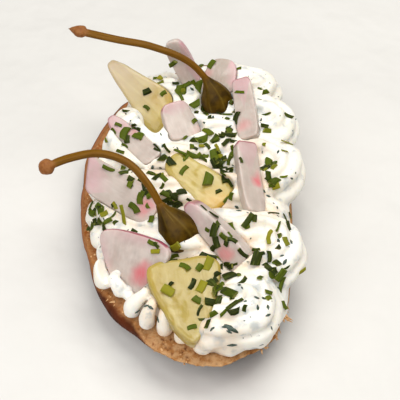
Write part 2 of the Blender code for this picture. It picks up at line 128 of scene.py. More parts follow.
def pore_distance(points: np.ndarray, size: float, seed: int) -> np.ndarray:
    """Returns the distance to the nearest of one jittered spot in each cell, in cell widths."""
    scaled = points / size
    base = np.floor(scaled)
    nearest = np.full(len(points), np.inf)
    for neighbour in NEIGHBOURS:
        cell = base + neighbour
        spot = cell + np.stack([corner_hash(cell, seed + axis) for axis in range(3)], axis=1)
        nearest = np.minimum(nearest, np.linalg.norm(scaled - spot, axis=1))
    return nearest


def smooth_step(values: np.ndarray, low: float, high: float) -> np.ndarray:
    """Rises smoothly from 0 at low to 1 at high."""
    share = np.clip((values - low) / (high - low), 0.0, 1.0)
    return share * share * (3.0 - 2.0 * share)


def even_angles(count: int) -> np.ndarray:
    """Returns that many angles, evenly round a circle from 0."""
    return 2.0 * math.pi * np.arange(count) / count


def signed_power(values: np.ndarray, power: np.ndarray) -> np.ndarray:
    """Raises values to a power and keeps their signs, as a superellipse needs."""
    return np.sign(values) * np.abs(values) ** power


# ---------------------------------------------------------------- surfaces


@dataclass
class Surface:
    """A mesh as arrays.

    points are in millimetres of the slice's frame, quads and triangles index them, and values holds
    named numbers, one for each point.
    """

    points: np.ndarray
    quads: np.ndarray
    triangles: np.ndarray
    values: dict[str, np.ndarray] = field(default_factory=dict)


def on_axis(height: float) -> np.ndarray:
    """Returns the point of the Z axis at a height."""
    return np.array([0.0, 0.0, height])


def ring_surface(rings: np.ndarray, first_tip: np.ndarray, last_tip: np.ndarray) -> Surface:
    """Joins rings of points into a closed skin with a tip at each end.

    Args:
        rings: Points by ring and side. The rings turn anticlockwise as seen from the last one.
        first_tip: The point that closes the first ring.
        last_tip: The point that closes the last ring.
    """
    count, sides, _ = rings.shape
    side = np.arange(sides)
    after = (side + 1) % sides
    low = (np.arange(count - 1) * sides)[:, None]
    quads = np.stack([low + side, low + after, low + sides + after, low + sides + side], axis=2)
    top = (count - 1) * sides
    first_fan = np.column_stack([np.full(sides, count * sides), after, side])
    last_fan = np.column_stack([np.full(sides, count * sides + 1), top + side, top + after])
    points = np.vstack([rings.reshape(-1, 3), first_tip, last_tip])
    return Surface(points, quads.reshape(-1, 4), np.vstack([first_fan, last_fan]))


NO_QUADS = np.empty((0, 4), int)
NO_TRIANGLES = np.empty((0, 3), int)


def joined(surfaces: Sequence[Surface]) -> Surface:
    """Puts several surfaces into one, keeping the values that all of them have."""
    starts = np.cumsum([0, *(len(surface.points) for surface in surfaces)])
    names = set.intersection(*(set(surface.values) for surface in surfaces))
    return Surface(
        np.vstack([surface.points for surface in surfaces]),
        np.vstack([surface.quads + start for surface, start in zip(surfaces, starts)]),
        np.vstack([surface.triangles + start for surface, start in zip(surfaces, starts)]),
        {name: np.concatenate([surface.values[name] for surface in surfaces]) for name in names},
    )


def repeated(template: Surface, points: np.ndarray) -> Surface:
    """Joins copies of a template whose points are already in place.

    Args:
        template: The shape of one copy.
        points: Points by copy and template point.
    """
    copies, size, _ = points.shape
    starts = (np.arange(copies) * size)[:, None, None]
    return Surface(
        points.reshape(-1, 3),
        (template.quads[None] + starts).reshape(-1, 4),
        (template.triangles[None] + starts).reshape(-1, 3),
    )


def make_mesh(name: str, surface: Surface) -> bpy.types.Mesh:
    """Makes a smooth-shaded mesh, in the frame's metres."""
    mesh = bpy.data.meshes.new(name)
    faces = [*surface.quads.tolist(), *surface.triangles.tolist()]
    mesh.from_pydata(((surface.points + SLICE_ORIGIN) * MM).tolist(), [], faces)
    for value_name, values in surface.values.items():
        if values.ndim == 1:
            stored = mesh.attributes.new(value_name, "FLOAT", "POINT")
            stored.data.foreach_set("value", values.astype(np.float32))
        else:
            stored = mesh.attributes.new(value_name, "FLOAT_VECTOR", "POINT")
            stored.data.foreach_set("vector", values.astype(np.float32).ravel())
    mesh.update()
    mesh.shade_smooth()
    return mesh


def make_piece(name: str, surface: Surface, material: Material | None) -> Piece:
    """Makes an object at the origin whose mesh holds its place."""
    mesh = make_mesh(name, surface)
    if material is not None:
        mesh.materials.append(material)
    made = bpy.data.objects.new(name, mesh)
    bpy.context.scene.collection.objects.link(made)
    return made


def mesh_points(mesh: bpy.types.Mesh) -> np.ndarray:
    """Returns a mesh's points in millimetres of the slice's frame."""
    flat = np.empty(len(mesh.vertices) * 3)
    mesh.vertices.foreach_get("co", flat)
    return flat.reshape(-1, 3) / MM - SLICE_ORIGIN


def stored_numbers(items: Sequence, name: str, width: int = 1) -> np.ndarray:
    """Returns a whole-numbered property of a mesh's edges, loops or faces, width numbers to a row."""
    flat = np.empty(len(items) * width, np.int32)
    items.foreach_get(name, flat)
    return flat if width == 1 else flat.reshape(-1, width)


def set_mesh_points(mesh: bpy.types.Mesh, points: np.ndarray) -> None:
    """Moves a mesh's points to the given places."""
    mesh.vertices.foreach_set("co", ((points + SLICE_ORIGIN) * MM).ravel())
    mesh.update()


def resample(line: np.ndarray, step: float) -> np.ndarray:
    """Returns a line with points about one step apart, its ends kept."""
    reach = path_reach(line)
    stops = np.linspace(0.0, reach[-1], max(2, round(reach[-1] / step) + 1))
    return np.stack([np.interp(stops, reach, column) for column in line.T], axis=1)


def path_reach(line: np.ndarray) -> np.ndarray:
    """Returns each point's distance along a line from its start."""
    return np.concatenate([[0.0], np.cumsum(np.linalg.norm(np.diff(line, axis=0), axis=1))])


def smooth_line(knots: Sequence, step: float, knot_steps: int = 24) -> np.ndarray:
    """Returns evenly spaced points on a Catmull-Rom curve.

    Between two knots the curve is the cubic whose slope at each of them is half the way from the
    knot before it to the knot after it.

    Args:
        knots: Points of any dimension, one a row.
        step: Distance between the points returned.
        knot_steps: Points worked out between two knots before the curve is resampled.
    """
    held = np.array(knots, float)
    held = np.vstack([2 * held[0] - held[1], held, 2 * held[-1] - held[-2]])
    before, start, end, after = held[:-3, None], held[1:-2, None], held[2:-1, None], held[3:, None]
    t = np.linspace(0.0, 1.0, knot_steps, endpoint=False)[None, :, None]
    curve = 0.5 * (
        2 * start
        + (end - before) * t
        + (2 * before - 5 * start + 4 * end - after) * t**2
        + (3 * start - before - 3 * end + after) * t**3
    )
    return resample(np.vstack([curve.reshape(-1, held.shape[1]), held[-2]]), step)


def unit(vectors: np.ndarray) -> np.ndarray:
    """Returns vectors at length one."""
    return vectors / np.linalg.norm(vectors, axis=-1, keepdims=True)


def sweep(line: np.ndarray, radii: np.ndarray, profile: np.ndarray, reference: tuple, tip: float) -> Surface:
    """Carries a ring profile along a line and closes both ends with a point.

    A point of the ring is the line's point, plus the profile's radius times the local radius, along
    the sideways and the upright axis. Sideways is the tangent crossed with the reference.

    Args:
        line: Points of the middle line.
        radii: Radius at each point.
        profile: The ring's radius at each of its even angles, about 1.
        reference: A direction that the line never takes.
        tip: How far the closing points stand out, as a share of the end's radius.
    """
    tangents = unit(np.gradient(line, axis=0))
    sideways = unit(np.cross(tangents, reference))
    upright = np.cross(sideways, tangents)
    angles = even_angles(len(profile))
    around_u = (profile * np.cos(angles))[None, :, None]
    around_v = (profile * np.sin(angles))[None, :, None]
    swell = radii[:, None, None]
    rings = line[:, None] - sideways[:, None] * swell * around_u + upright[:, None] * swell * around_v
    first_tip = line[0] - tangents[0] * radii[0] * tip
    last_tip = line[-1] + tangents[-1] * radii[-1] * tip
    return ring_surface(rings, first_tip, last_tip)


# ---------------------------------------------------------------- materials


def linear(hex_colour: str) -> tuple[float, float, float, float]:
    """Turns an sRGB colour such as #f0ede4 into linear red, green, blue and alpha."""
    parts = [int(hex_colour[start : start + 2], 16) / 255.0 for start in (1, 3, 5)]
    return (*(part / 12.92 if part <= 0.04045 else ((part + 0.055) / 1.055) ** 2.4 for part in parts), 1.0)


def add_node(
    tree: bpy.types.NodeTree, kind: str, inputs: dict | None = None, **settings: object
) -> bpy.types.Node:
    """Adds a shader node.

    Args:
        tree: The material's node tree.
        kind: The node's type without "ShaderNode".
        inputs: Values or output sockets, by the name or the number of the input.
        settings: The node's own properties.

    Returns:
        The node.
    """
    node = tree.nodes.new(f"ShaderNode{kind}")
    for key, value in settings.items():
        setattr(node, key, value)
    for key, value in (inputs or {}).items():
        if isinstance(value, Socket):
            tree.links.new(value, node.inputs[key])
        else:
            node.inputs[key].default_value = value
    return node


class Finish:
    """What every finish has: a Principled shader to set and layers of colour, spots and relief to add."""

    def __init__(self, name: str, **shader_values: object) -> None:
        """Makes the material and sets the shader's own sockets, whose spaces are written as _."""
        self.material = bpy.data.materials.new(name)
        self.material.use_nodes = True
        self.tree = self.material.node_tree
        self.shader = self.tree.nodes["Principled BSDF"]
        for key, value in shader_values.items():
            self.shader.inputs[key.replace("_", " ")].default_value = value
        self.place = add_node(self.tree, "TexCoord").outputs["Object"]

    def link(self, socket: Socket, name: str) -> None:
        """Links a socket to one of the shader's inputs."""
        self.tree.links.new(socket, self.shader.inputs[name])

    def value(self, name: str) -> Socket:
        """Returns a stored number of the mesh."""
        return add_node(self.tree, "Attribute", attribute_name=name).outputs["Fac"]

    def stored_place(self, name: str) -> Socket:
        """Returns a stored vector of the mesh."""
        return add_node(self.tree, "Attribute", attribute_name=name).outputs["Vector"]

    def noise(self, size_mm: float, detail: float = 3.0, place: Socket | None = None,
              stretch: tuple[float, float, float] | None = None, twist: float = 0.0) -> Socket:
        """Returns noise from 0 to 1.

        Args:
            size_mm: Width of its largest lumps.
            detail: Octaves.
            place: Coordinates to use in place of the object's own.
            stretch: Scale along each axis before the noise, to draw it out.
            twist: Distortion.
        """
        where = place or self.place
        if stretch is not None:
            where = add_node(self.tree, "Mapping", {"Vector": where, "Scale": stretch}).outputs[0]
        inputs = {"Vector": where, "Scale": 1.0 / (size_mm * MM), "Detail": detail, "Distortion": twist}
        return add_node(self.tree, "TexNoise", inputs).outputs["Fac"]

    def ramp(self, value: Socket, low: float, high: float, to_low: float = 0.0,
             to_high: float = 1.0) -> Socket:
        """Maps low..high to to_low..to_high, smoothly and clamped."""
        inputs = {"Value": value, "From Min": low, "From Max": high, "To Min": to_low, "To Max": to_high}
        return add_node(self.tree, "MapRange", inputs, interpolation_type="SMOOTHSTEP").outputs[0]

    def times(self, first: Socket, second: Socket | float) -> Socket:
        """Multiplies two values."""
        return add_node(self.tree, "Math", {0: first, 1: second}, operation="MULTIPLY").outputs[0]

    def mix(self, share: Socket, first: object, second: object) -> Socket:
        """Mixes two colours, each a hex colour or a socket."""
        inputs = {
            "Factor": share,
            6: linear(first) if isinstance(first, str) else first,
            7: linear(second) if isinstance(second, str) else second,
        }
        return add_node(self.tree, "Mix", inputs, data_type="RGBA").outputs[2]

    def paint(self, base: Socket, *layers: tuple[Socket, object]) -> Socket:
        """Lays colours over a base, each a (share, colour) pair, and returns the result."""
        for share, colour in layers:
            base = self.mix(share, base, colour)
        return base

    def relief(self, heights: Sequence[tuple[Socket, float]]) -> None:
        """Adds bump from (height from 0 to 1, depth in millimetres) pairs."""
        normal = None
        for height, depth in heights:
            inputs = {"Height": height, "Distance": depth * MM, "Strength": 1.0}
            if normal is not None:
                inputs["Normal"] = normal
            normal = add_node(self.tree, "Bump", inputs).outputs[0]
        self.link(normal, "Normal")


@dataclass(frozen=True)
class CreamCheese:
    """Whipped cream cheese with herbs: dense, milky and soft-edged, with a satin fat sheen.

    Herb pieces just under the skin read as blue-grey shadows, and those at the skin as green flecks.
    """

    body: str = "#f0eee6"
    # painted warm reflected light, laid in random patches
    warm: str = "#ebe5d8"
    # painted warm light that passes through and bounces off the toppings, laid on the cream beside them
    juice: str = "#e6cfb4"
    sunk_herb: str = "#a3adb2"
    herb: str = "#2f4434"
    ragged_scale: float = 700.0  # of the noise that makes the herbs' outlines ragged
    ragged_reach: float = 0.0024  # how far that noise moves them, in metres
    lumps: tuple = ((5.0, 3.0, 0.3), (1.8, 4.0, 0.14), (0.5, 2.0, 0.02))  # size, octaves and depth

    def build(self) -> Material:
        """Returns the material."""
        finish = Finish("whipped_cream_cheese", Roughness=0.42, IOR=1.45, Subsurface_Weight=0.35,
                        Subsurface_Radius=(1.0, 0.8, 0.55), Subsurface_Scale=0.003)
        tree = finish.tree
        bend = add_node(tree, "TexNoise", {"Vector": finish.place, "Scale": self.ragged_scale, "Detail": 2.0})
        inputs = {0: bend.outputs["Color"], "Scale": self.ragged_reach}
        shift = add_node(tree, "VectorMath", inputs, operation="SCALE")
        bent = add_node(tree, "VectorMath", {0: finish.place, 1: shift.outputs[0]}).outputs[0]
        # random patches of painted warm reflected light
        colour = finish.mix(finish.ramp(finish.noise(9.0), 0.35, 0.7), self.body, self.warm)
        # painted bounce light: warm tint on the cream near the toppings
        soaked = finish.times(finish.value("juice"), finish.ramp(finish.noise(6.0), 0.35, 0.65, 0.25, 0.95))
        colour = finish.mix(soaked, colour, self.juice)
        # Each layer of herbs: cell size, reach in the cell, share of empty cells, colour and strength.
        for size, reach, share, tint, strength in (
            (4.6, 0.5, 0.5, self.sunk_herb, 0.6),
            (2.8, 0.42, 0.6, self.sunk_herb, 0.6),
            (1.9, 0.2, 0.74, self.herb, 0.85),
        ):
            cells = add_node(tree, "TexVoronoi", {"Vector": bent, "Scale": 1.0 / (size * MM)})
            pick = add_node(tree, "SeparateColor", {0: cells.outputs["Color"]}).outputs[0]
            spot = finish.ramp(cells.outputs["Distance"], reach * 0.12, reach, strength, 0.0)
            kept = add_node(tree, "Math", {0: pick, 1: share}, operation="GREATER_THAN").outputs[0]
            colour = finish.mix(finish.times(spot, kept), colour, tint)
        finish.link(colour, "Base Color")
        finish.relief([(finish.noise(size, octaves), depth) for size, octaves, depth in self.lumps])
        return finish.material


@dataclass(frozen=True)
class RadishFlesh:
    """Cut radish: watery, faintly see-through white flesh with a thin magenta skin and a pink heart."""

    flesh: str = "#c8bcb4"
    shade: str = "#b5a69e"
    tinged: str = "#c9a0a6"
    # painted shade: a darker flesh laid on each piece by its own share, standing for how little light falls
    # on it
    deep: str = "#a99b8f"
    fibre: str = "#e9dedb"
    heart: str = "#d4606c"
    skin: str = "#8c2544"

    def build(self) -> Material:
        """Returns the material."""
        finish = Finish("fresh_radish_flesh", Roughness=0.3, IOR=1.38, Subsurface_Weight=0.3,
                        Subsurface_Radius=(1.0, 0.55, 0.5), Subsurface_Scale=0.003,
                        Coat_Weight=0.2, Coat_Roughness=0.18)
        local = finish.stored_place("local")
        fibres = finish.noise(0.9, 3.0, local, (0.22, 1.0, 1.0))
        patches = finish.ramp(finish.noise(5.0), 0.3, 0.6, 0.4, 1.0)
        rays = finish.ramp(fibres, 0.1, 0.6, 0.65, 1.0)
        colour = finish.paint(
            finish.mix(finish.ramp(finish.noise(4.0), 0.3, 0.7), self.flesh, self.shade),
            # painted shade, by each piece's own share
            (finish.value("deep"), self.deep),
            (finish.ramp(fibres, 0.45, 0.8, 0.0, 0.16), self.fibre),
            (finish.times(finish.value("near_skin"), patches), self.tinged),
            (finish.times(finish.value("heart"), rays), self.heart),
            (finish.value("skin"), self.skin),
        )
        finish.link(colour, "Base Color")
        finish.relief([(fibres, 0.05), (finish.noise(0.4, 2.0), 0.015)])
        return finish.material


@dataclass(frozen=True)
class FruitFlesh:
    """Ripe yellow fruit: wet, fibrous flesh that light enters, golden where it is ripest."""

    flesh: str = "#b4a054"
    mottle: str = "#b9a65c"
    ripe: str = "#cc9c34"
    # painted shade: a darker flesh laid on each piece by its own share, standing for how little light falls
    # on it
    deep: str = "#9c883e"
    pale: str = "#c2b092"
    fibre: str = "#d6ca8c"
    streak: str = "#d4c898"

    def build(self) -> Material:
        """Returns the material."""
        finish = Finish("ripe_fruit_flesh", Roughness=0.26, IOR=1.37, Subsurface_Weight=0.4,
                        Subsurface_Radius=(1.0, 0.7, 0.22), Subsurface_Scale=0.004,
                        Coat_Weight=0.3, Coat_Roughness=0.12)
        local = finish.stored_place("local")
        fibres = finish.noise(1.1, 4.0, local, (0.2, 1.0, 1.0), 0.15)
        streaks = finish.noise(4.6, 2.0, local, (0.3, 1.0, 1.0), 0.8)
        colour = finish.paint(
            finish.mix(finish.value("ripe"), self.flesh, self.ripe),
            (finish.ramp(finish.noise(3.5), 0.4, 0.75, 0.0, 0.4), self.mottle),
            # painted shade, by each piece's own share
            (finish.value("deep"), self.deep),
            (finish.ramp(fibres, 0.48, 0.72, 0.0, 0.12), self.fibre),
            (finish.value("pale"), self.pale),
            (finish.ramp(streaks, 0.5, 0.7, 0.0, 0.26), self.streak),
            (finish.ramp(streaks, 0.3, 0.46, 0.3, 0.0), self.flesh),
        )
        finish.link(colour, "Base Color")
        finish.relief([(fibres, 0.03), (streaks, 0.1), (finish.noise(0.6, 3.0), 0.03)])
        return finish.material


@dataclass(frozen=True)
class CaperSkin:
    """Pickled caper berry: olive-brown, wet and smooth, with faint ribs, pale specks and a tan stem."""

    body: str = "#543d07"
    dark: str = "#352402"
    rib: str = "#85702c"
    stem: str = "#744f13"
    stem_dark: str = "#634108"
    knob: str = "#936238"
    knob_dark: str = "#84522c"

    def build(self) -> Material:
        """Returns the material."""
        finish = Finish("pickled_caper_skin", Roughness=0.4, IOR=1.38, Specular_IOR_Level=0.14,
                        Subsurface_Weight=0.12, Subsurface_Radius=(1.0, 0.6, 0.2), Subsurface_Scale=0.002)
        local = finish.stored_place("local")
        streaks = finish.noise(1.4, 3.0, local, (0.25, 1.0, 1.0))
        stem = finish.mix(finish.ramp(streaks, 0.4, 0.7), self.stem, self.stem_dark)
        knob = finish.mix(finish.ramp(finish.noise(1.2), 0.4, 0.65), self.knob, self.knob_dark)
        colour = finish.paint(
            finish.mix(finish.ramp(finish.noise(3.0), 0.35, 0.7), self.body, self.dark),
            (finish.ramp(streaks, 0.56, 0.74, 0.0, 0.25), self.rib),
            (finish.value("rib"), self.rib),
            (finish.value("stem"), stem),
            (finish.value("knob"), knob),
        )
        finish.link(colour, "Base Color")
        finish.relief([(streaks, 0.03), (finish.noise(0.5, 2.0), 0.02)])
        return finish.material


@dataclass(frozen=True)
class ToastedBread:
    """Toasted wheat bread: dry open crumb, browned on its high spots, inside a dark glossy crust."""

    crumb: str = "#dab282"
    crumb_light: str = "#e9c391"
    browned: str = "#b07c48"
    # painted shade in the open pores
    pore: str = "#7a4823"
    # real toasting near the rim, made stronger towards -X as painted shade on the darker left side
    toast: str = "#8c4f20"
    crust: str = "#5a280c"
    crust_dark: str = "#2c1204"
    crust_rim: str = "#a9652f"

    def build(self) -> Material:
        """Returns the material."""
        finish = Finish("toasted_wheat_bread", IOR=1.45, Specular_IOR_Level=0.15)
        crust_share = finish.value("crust")
        mottle = finish.noise(1.6, 5.0)
        crumb = finish.paint(
            finish.mix(finish.ramp(mottle, 0.36, 0.66), self.crumb, self.browned),
            (finish.ramp(finish.noise(0.8, 3.0), 0.58, 0.72, 0.0, 0.6), self.crumb_light),
            # toasting near the rim, with painted shade towards -X
            (finish.times(finish.value("toast"), finish.ramp(mottle, 0.3, 0.55, 1.0, 0.6)), self.toast),
            # painted shade in the open pores
            (finish.value("pore"), self.pore),
        )
        crust = finish.mix(finish.ramp(finish.noise(5.0, 5.0), 0.35, 0.7), self.crust, self.crust_dark)
        crust = finish.mix(finish.value("rim"), crust, self.crust_rim)
        colour = finish.mix(crust_share, crumb, crust)
        finish.link(colour, "Base Color")
        finish.link(finish.ramp(crust_share, 0.0, 1.0, 0.9, 0.7), "Roughness")
        finish.relief([(mottle, 0.25), (finish.noise(0.5, 3.0), 0.12)])
        return finish.material


@dataclass(frozen=True)
class ChiveLeaf:
    """Chopped chive: a hollow leaf, waxy outside and paler inside, from yellow-green to dark green; how light
    a piece is stands partly for its own colour and partly for painted light and shade.
    """

    dark: str = "#222a06"
    middle: str = "#4d5a0e"
    bright: str = "#8a8420"
    vein: str = "#66702a"
    inside: str = "#8f8f48"

    def build(self) -> Material:
        """Returns the material."""
        finish = Finish("chopped_chive_leaf", Roughness=0.5, IOR=1.35, Specular_IOR_Level=0.18,
                        Subsurface_Weight=0.15, Subsurface_Radius=(0.5, 1.0, 0.2), Subsurface_Scale=0.001)
        tone = finish.value("tone")
        veins = finish.noise(0.5, 2.0, finish.stored_place("local"), (0.15, 1.0, 1.0))
        colour = finish.paint(
            # dark to bright: partly the leaf's own colour, partly painted shade and painted light
            finish.mix(finish.ramp(tone, 0.0, 0.5), self.dark, self.middle),
            (finish.ramp(tone, 0.5, 1.0), self.bright),
            (finish.ramp(veins, 0.5, 0.75, 0.0, 0.4), self.vein),
            (finish.value("inner"), self.inside),
        )
        finish.link(colour, "Base Color")
        finish.relief([(veins, 0.05)])
        return finish.material


def plain_material(name: str, colour: str, roughness: float, grain_mm: float, grain_colour: str) -> Material:
    """Returns a matte material whose colour is mottled at one grain size."""
    finish = Finish(name, Roughness=roughness)
    grain = finish.noise(grain_mm, 4.0)
    finish.link(finish.mix(finish.ramp(grain, 0.35, 0.65), colour, grain_colour), "Base Color")
    finish.relief([(grain, grain_mm * 0.1)])
    return finish.material


# ---------------------------------------------------------------- bread


@dataclass
class ToastedSlice:
    """The slice: a slanting slab with open crumb on its cut faces and a crust round its side."""

    half_width: float = 31.0
    half_length: float = 60.0
    back_length: float = 58.8  # the half length towards the back
    thickness: float = 12.0
    bow: float = 5.0  # both ends bend this far towards +X
    sharp_side: float = 2.0  # superellipse exponent of the -X side
    blunt_side: float = 2.6  # of the fuller +X side
    lean_corner: float = 1.55  # and of the leaner corner at the back of the -X side
    lean_from: tuple = (0.6, 0.86)  # the shares of the half length between which it sets in
    slant: tuple = (0.6, -14.0)  # how far the top face lies from the bottom face
    bottom_inset: float = 1.6  # how far the side is drawn in at the bottom face
    top_inset: float = 1.3  # and at the top face
    bulge: float = 0.8
    rim_height: float = 0.3
    tear_angle: float = math.radians(228.0)
    tear_width: float = math.radians(14.0)
    tear_depth: float = 1.6
    belly_depth: float = 2.0
    pore_size: float = 1.5
    pore_depth: float = 0.75
    fine_pore_size: float = 0.8
    fine_pore_depth: float = 0.3
    crumb_relief: float = 0.35
    crust_waves: tuple = ((7, 0.6, 0.45), (13, 2.1, 0.32), (23, 4.0, 0.22))
    sides: int = 900
    side_step: float = 0.36
    face_insets: tuple = (*np.arange(0.9, 11.0, 0.42), 12.0, 14.0, 18.0, 24.0)

    def outline(self, angles: np.ndarray) -> np.ndarray:
        """Returns the outline: a superellipse, blunter on its +X side, whose ends bow towards +X."""
        cosine, sine = np.cos(angles), np.sin(angles)
        left = self.sharp_side + (self.lean_corner - self.sharp_side) * smooth_step(sine, *self.lean_from)
        power = 2.0 / np.where(cosine > 0.0, self.blunt_side, left)
        unit_x, unit_y = signed_power(cosine, power), signed_power(sine, power)
        length = np.where(sine > 0.0, self.back_length, self.half_length)
        return np.stack([self.half_width * unit_x + self.bow * unit_y**2, length * unit_y], axis=1)

    def edge(self, y: float, side: int) -> float:
        """Returns the x of the outline at a given y, on the side +1 or -1."""
        share = min(abs(y) / (self.back_length if y > 0.0 else self.half_length), 1.0)
        lean_share = float(smooth_step(np.array(y / self.half_length), *self.lean_from))
        left = self.sharp_side + (self.lean_corner - self.sharp_side) * lean_share
        exponent = self.blunt_side if side > 0 else left
        return side * self.half_width * (1.0 - share**exponent) ** (1.0 / exponent) + self.bow * share**2

    def rows(self) -> tuple[np.ndarray, np.ndarray, np.ndarray]:
        """Returns the rings' rows on the bottom face, up the side and on the top face.

        A row is its height, its inset, and how much of the tear and of the belly it takes.
        """
        profile = (
            (0.0, self.bottom_inset, 0.0, 0.2),
            (0.9, 0.3, 0.0, 0.4),
            (4.0, -self.bulge, 0.0, 0.9),
            (7.5, -self.bulge, 0.0, 1.0),
            (10.2, 0.0, 0.3, 0.6),
            (self.thickness - self.rim_height, 0.5, 1.0, 0.0),
            (self.thickness, self.top_inset, 1.0, 0.0),
        )
        insets = np.array(self.face_insets)
        none, full = np.zeros(len(insets)), np.ones(len(insets))
        bottom_rows = np.column_stack([none, self.bottom_inset + insets, none, 0.2 * full])[::-1]
        top_rows = np.column_stack([self.thickness * full, self.top_inset + insets, full, none])
        return bottom_rows, smooth_line(profile, self.side_step), top_rows

    def surface(self) -> Surface:
        """Returns the slice: rings of the outline that climb the crust and close over both cut faces.

        A ring is the outline drawn in by its inset and slid along the loaf's slant by its height.
        Pores sink where the nearest of the jittered spots is close, and noise roughens all of it.
        """
        angles = even_angles(self.sides)
        outline = self.outline(angles)
        outward = unit(outline)
        wobble = sum(depth * np.sin(lobes * angles + phase) for lobes, phase, depth in self.crust_waves)
        turned = (angles - self.tear_angle + math.pi) % (2.0 * math.pi) - math.pi
        torn_part = np.exp(-((turned / self.tear_width) ** 2))
        bottom_rows, side_rows, top_rows = self.rows()
        rows = np.vstack([bottom_rows, side_rows, top_rows])
        height, inset, torn, swollen = (column[:, None] for column in rows.T)
        rise = height / self.thickness
        pulled = inset + self.tear_depth * torn_part * torn - self.belly_depth * torn_part * swollen
        pulled = pulled - wobble * (1.0 + 2.0 * rise) / 3.0
        flat = outline - outward * pulled[..., None]
        lean = np.array(self.slant) * (rise[..., None] - 1.0)
        level = np.broadcast_to(height - self.thickness, pulled.shape)
        rings = np.concatenate([flat + lean, level[..., None]], axis=2)
        made = ring_surface(rings, np.array([-self.slant[0], -self.slant[1], -self.thickness]), np.zeros(3))

        first_side = len(bottom_rows)
        last_side = first_side + len(side_rows)
        row_kind = np.zeros(len(rows))
        row_kind[first_side:last_side] = 1.0
        crust = np.concatenate([np.repeat(row_kind, self.sides), [0.0, 0.0]])
        out = np.concatenate([np.tile(outward, (len(rows), 1)), [[0.0, 0.0], [0.0, 0.0]]])
        inset_at = np.concatenate([np.repeat(rows[:, 1], self.sides), [rows[0, 1], rows[-1, 1]]])
        points = made.points
        up = np.where(points[:, 2] > -self.thickness / 2.0, 1.0, -1.0)
        near_rim = smooth_step(points[:, 2], -2.6, -0.4) * crust
        pore = smooth_step(pore_distance(points * (1.0, 1.0, 1.4), self.pore_size, 11), 0.36, 0.1)
        fine_pore = smooth_step(pore_distance(points, self.fine_pore_size, 31), 0.4, 0.15)
        rough = fractal_noise(points, 2.4, 4, 5)
        crumb_drop = self.pore_depth * pore + self.fine_pore_depth * fine_pore - self.crumb_relief * rough
        # painted shade at the torn front-left: the dark crust reaches higher there and the lighter upper band
        # gives way
        dark_rim = np.concatenate([np.tile(-1.6 * torn_part, len(rows)), [0.0, 0.0]])
        face = 1.0 - crust
        open_rim = np.maximum(face, near_rim)
        points[:, 2] -= up * face * crumb_drop * np.where(up > 0, 0.9, 0.4)
        ragged = 0.5 * fractal_noise(points, 3.2, 3, 17) + 0.35 * fractal_noise(points, 1.0, 2, 19)
        points[:, :2] += out * (near_rim * ragged + crust * 0.18 * fractal_noise(points, 4.5, 4, 23))[:, None]
        points[:, 2] = np.maximum(points[:, 2], -self.thickness)
        # painted shade: the toasting is drawn darker towards the -X side
        singed = 0.3 + 0.7 * smooth_step(out[:, 0], 0.1, -0.6)  # more towards -X
        made.values = {
            "crust": crust * (1.0 - smooth_step(points[:, 2] + 0.5 * rough + dark_rim, -2.6, -1.0)),
            "rim": smooth_step(points[:, 2] + 0.8 * rough + 4.0 * dark_rim, -6.0, -2.2) * crust,
            # painted shade in the open pores of the faces and the rim
            "pore": np.clip(pore * 0.9 + fine_pore * 0.4, 0.0, 1.0) * open_rim,
            # real toasting near the rim, strengthened towards -X as painted shade
            "toast": smooth_step(inset_at + 1.2 * rough, 8.0, 1.2) * singed,
        }
        return made

    def build(self, material: Material) -> Piece:
        """Makes the slice and lets it stand for the CAD bread."""
        piece = make_piece("toasted_slice", self.surface(), material)
        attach(piece, ROOT_BODY)
        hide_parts("bread_slice")
        return piece


# ---------------------------------------------------------------- toppings


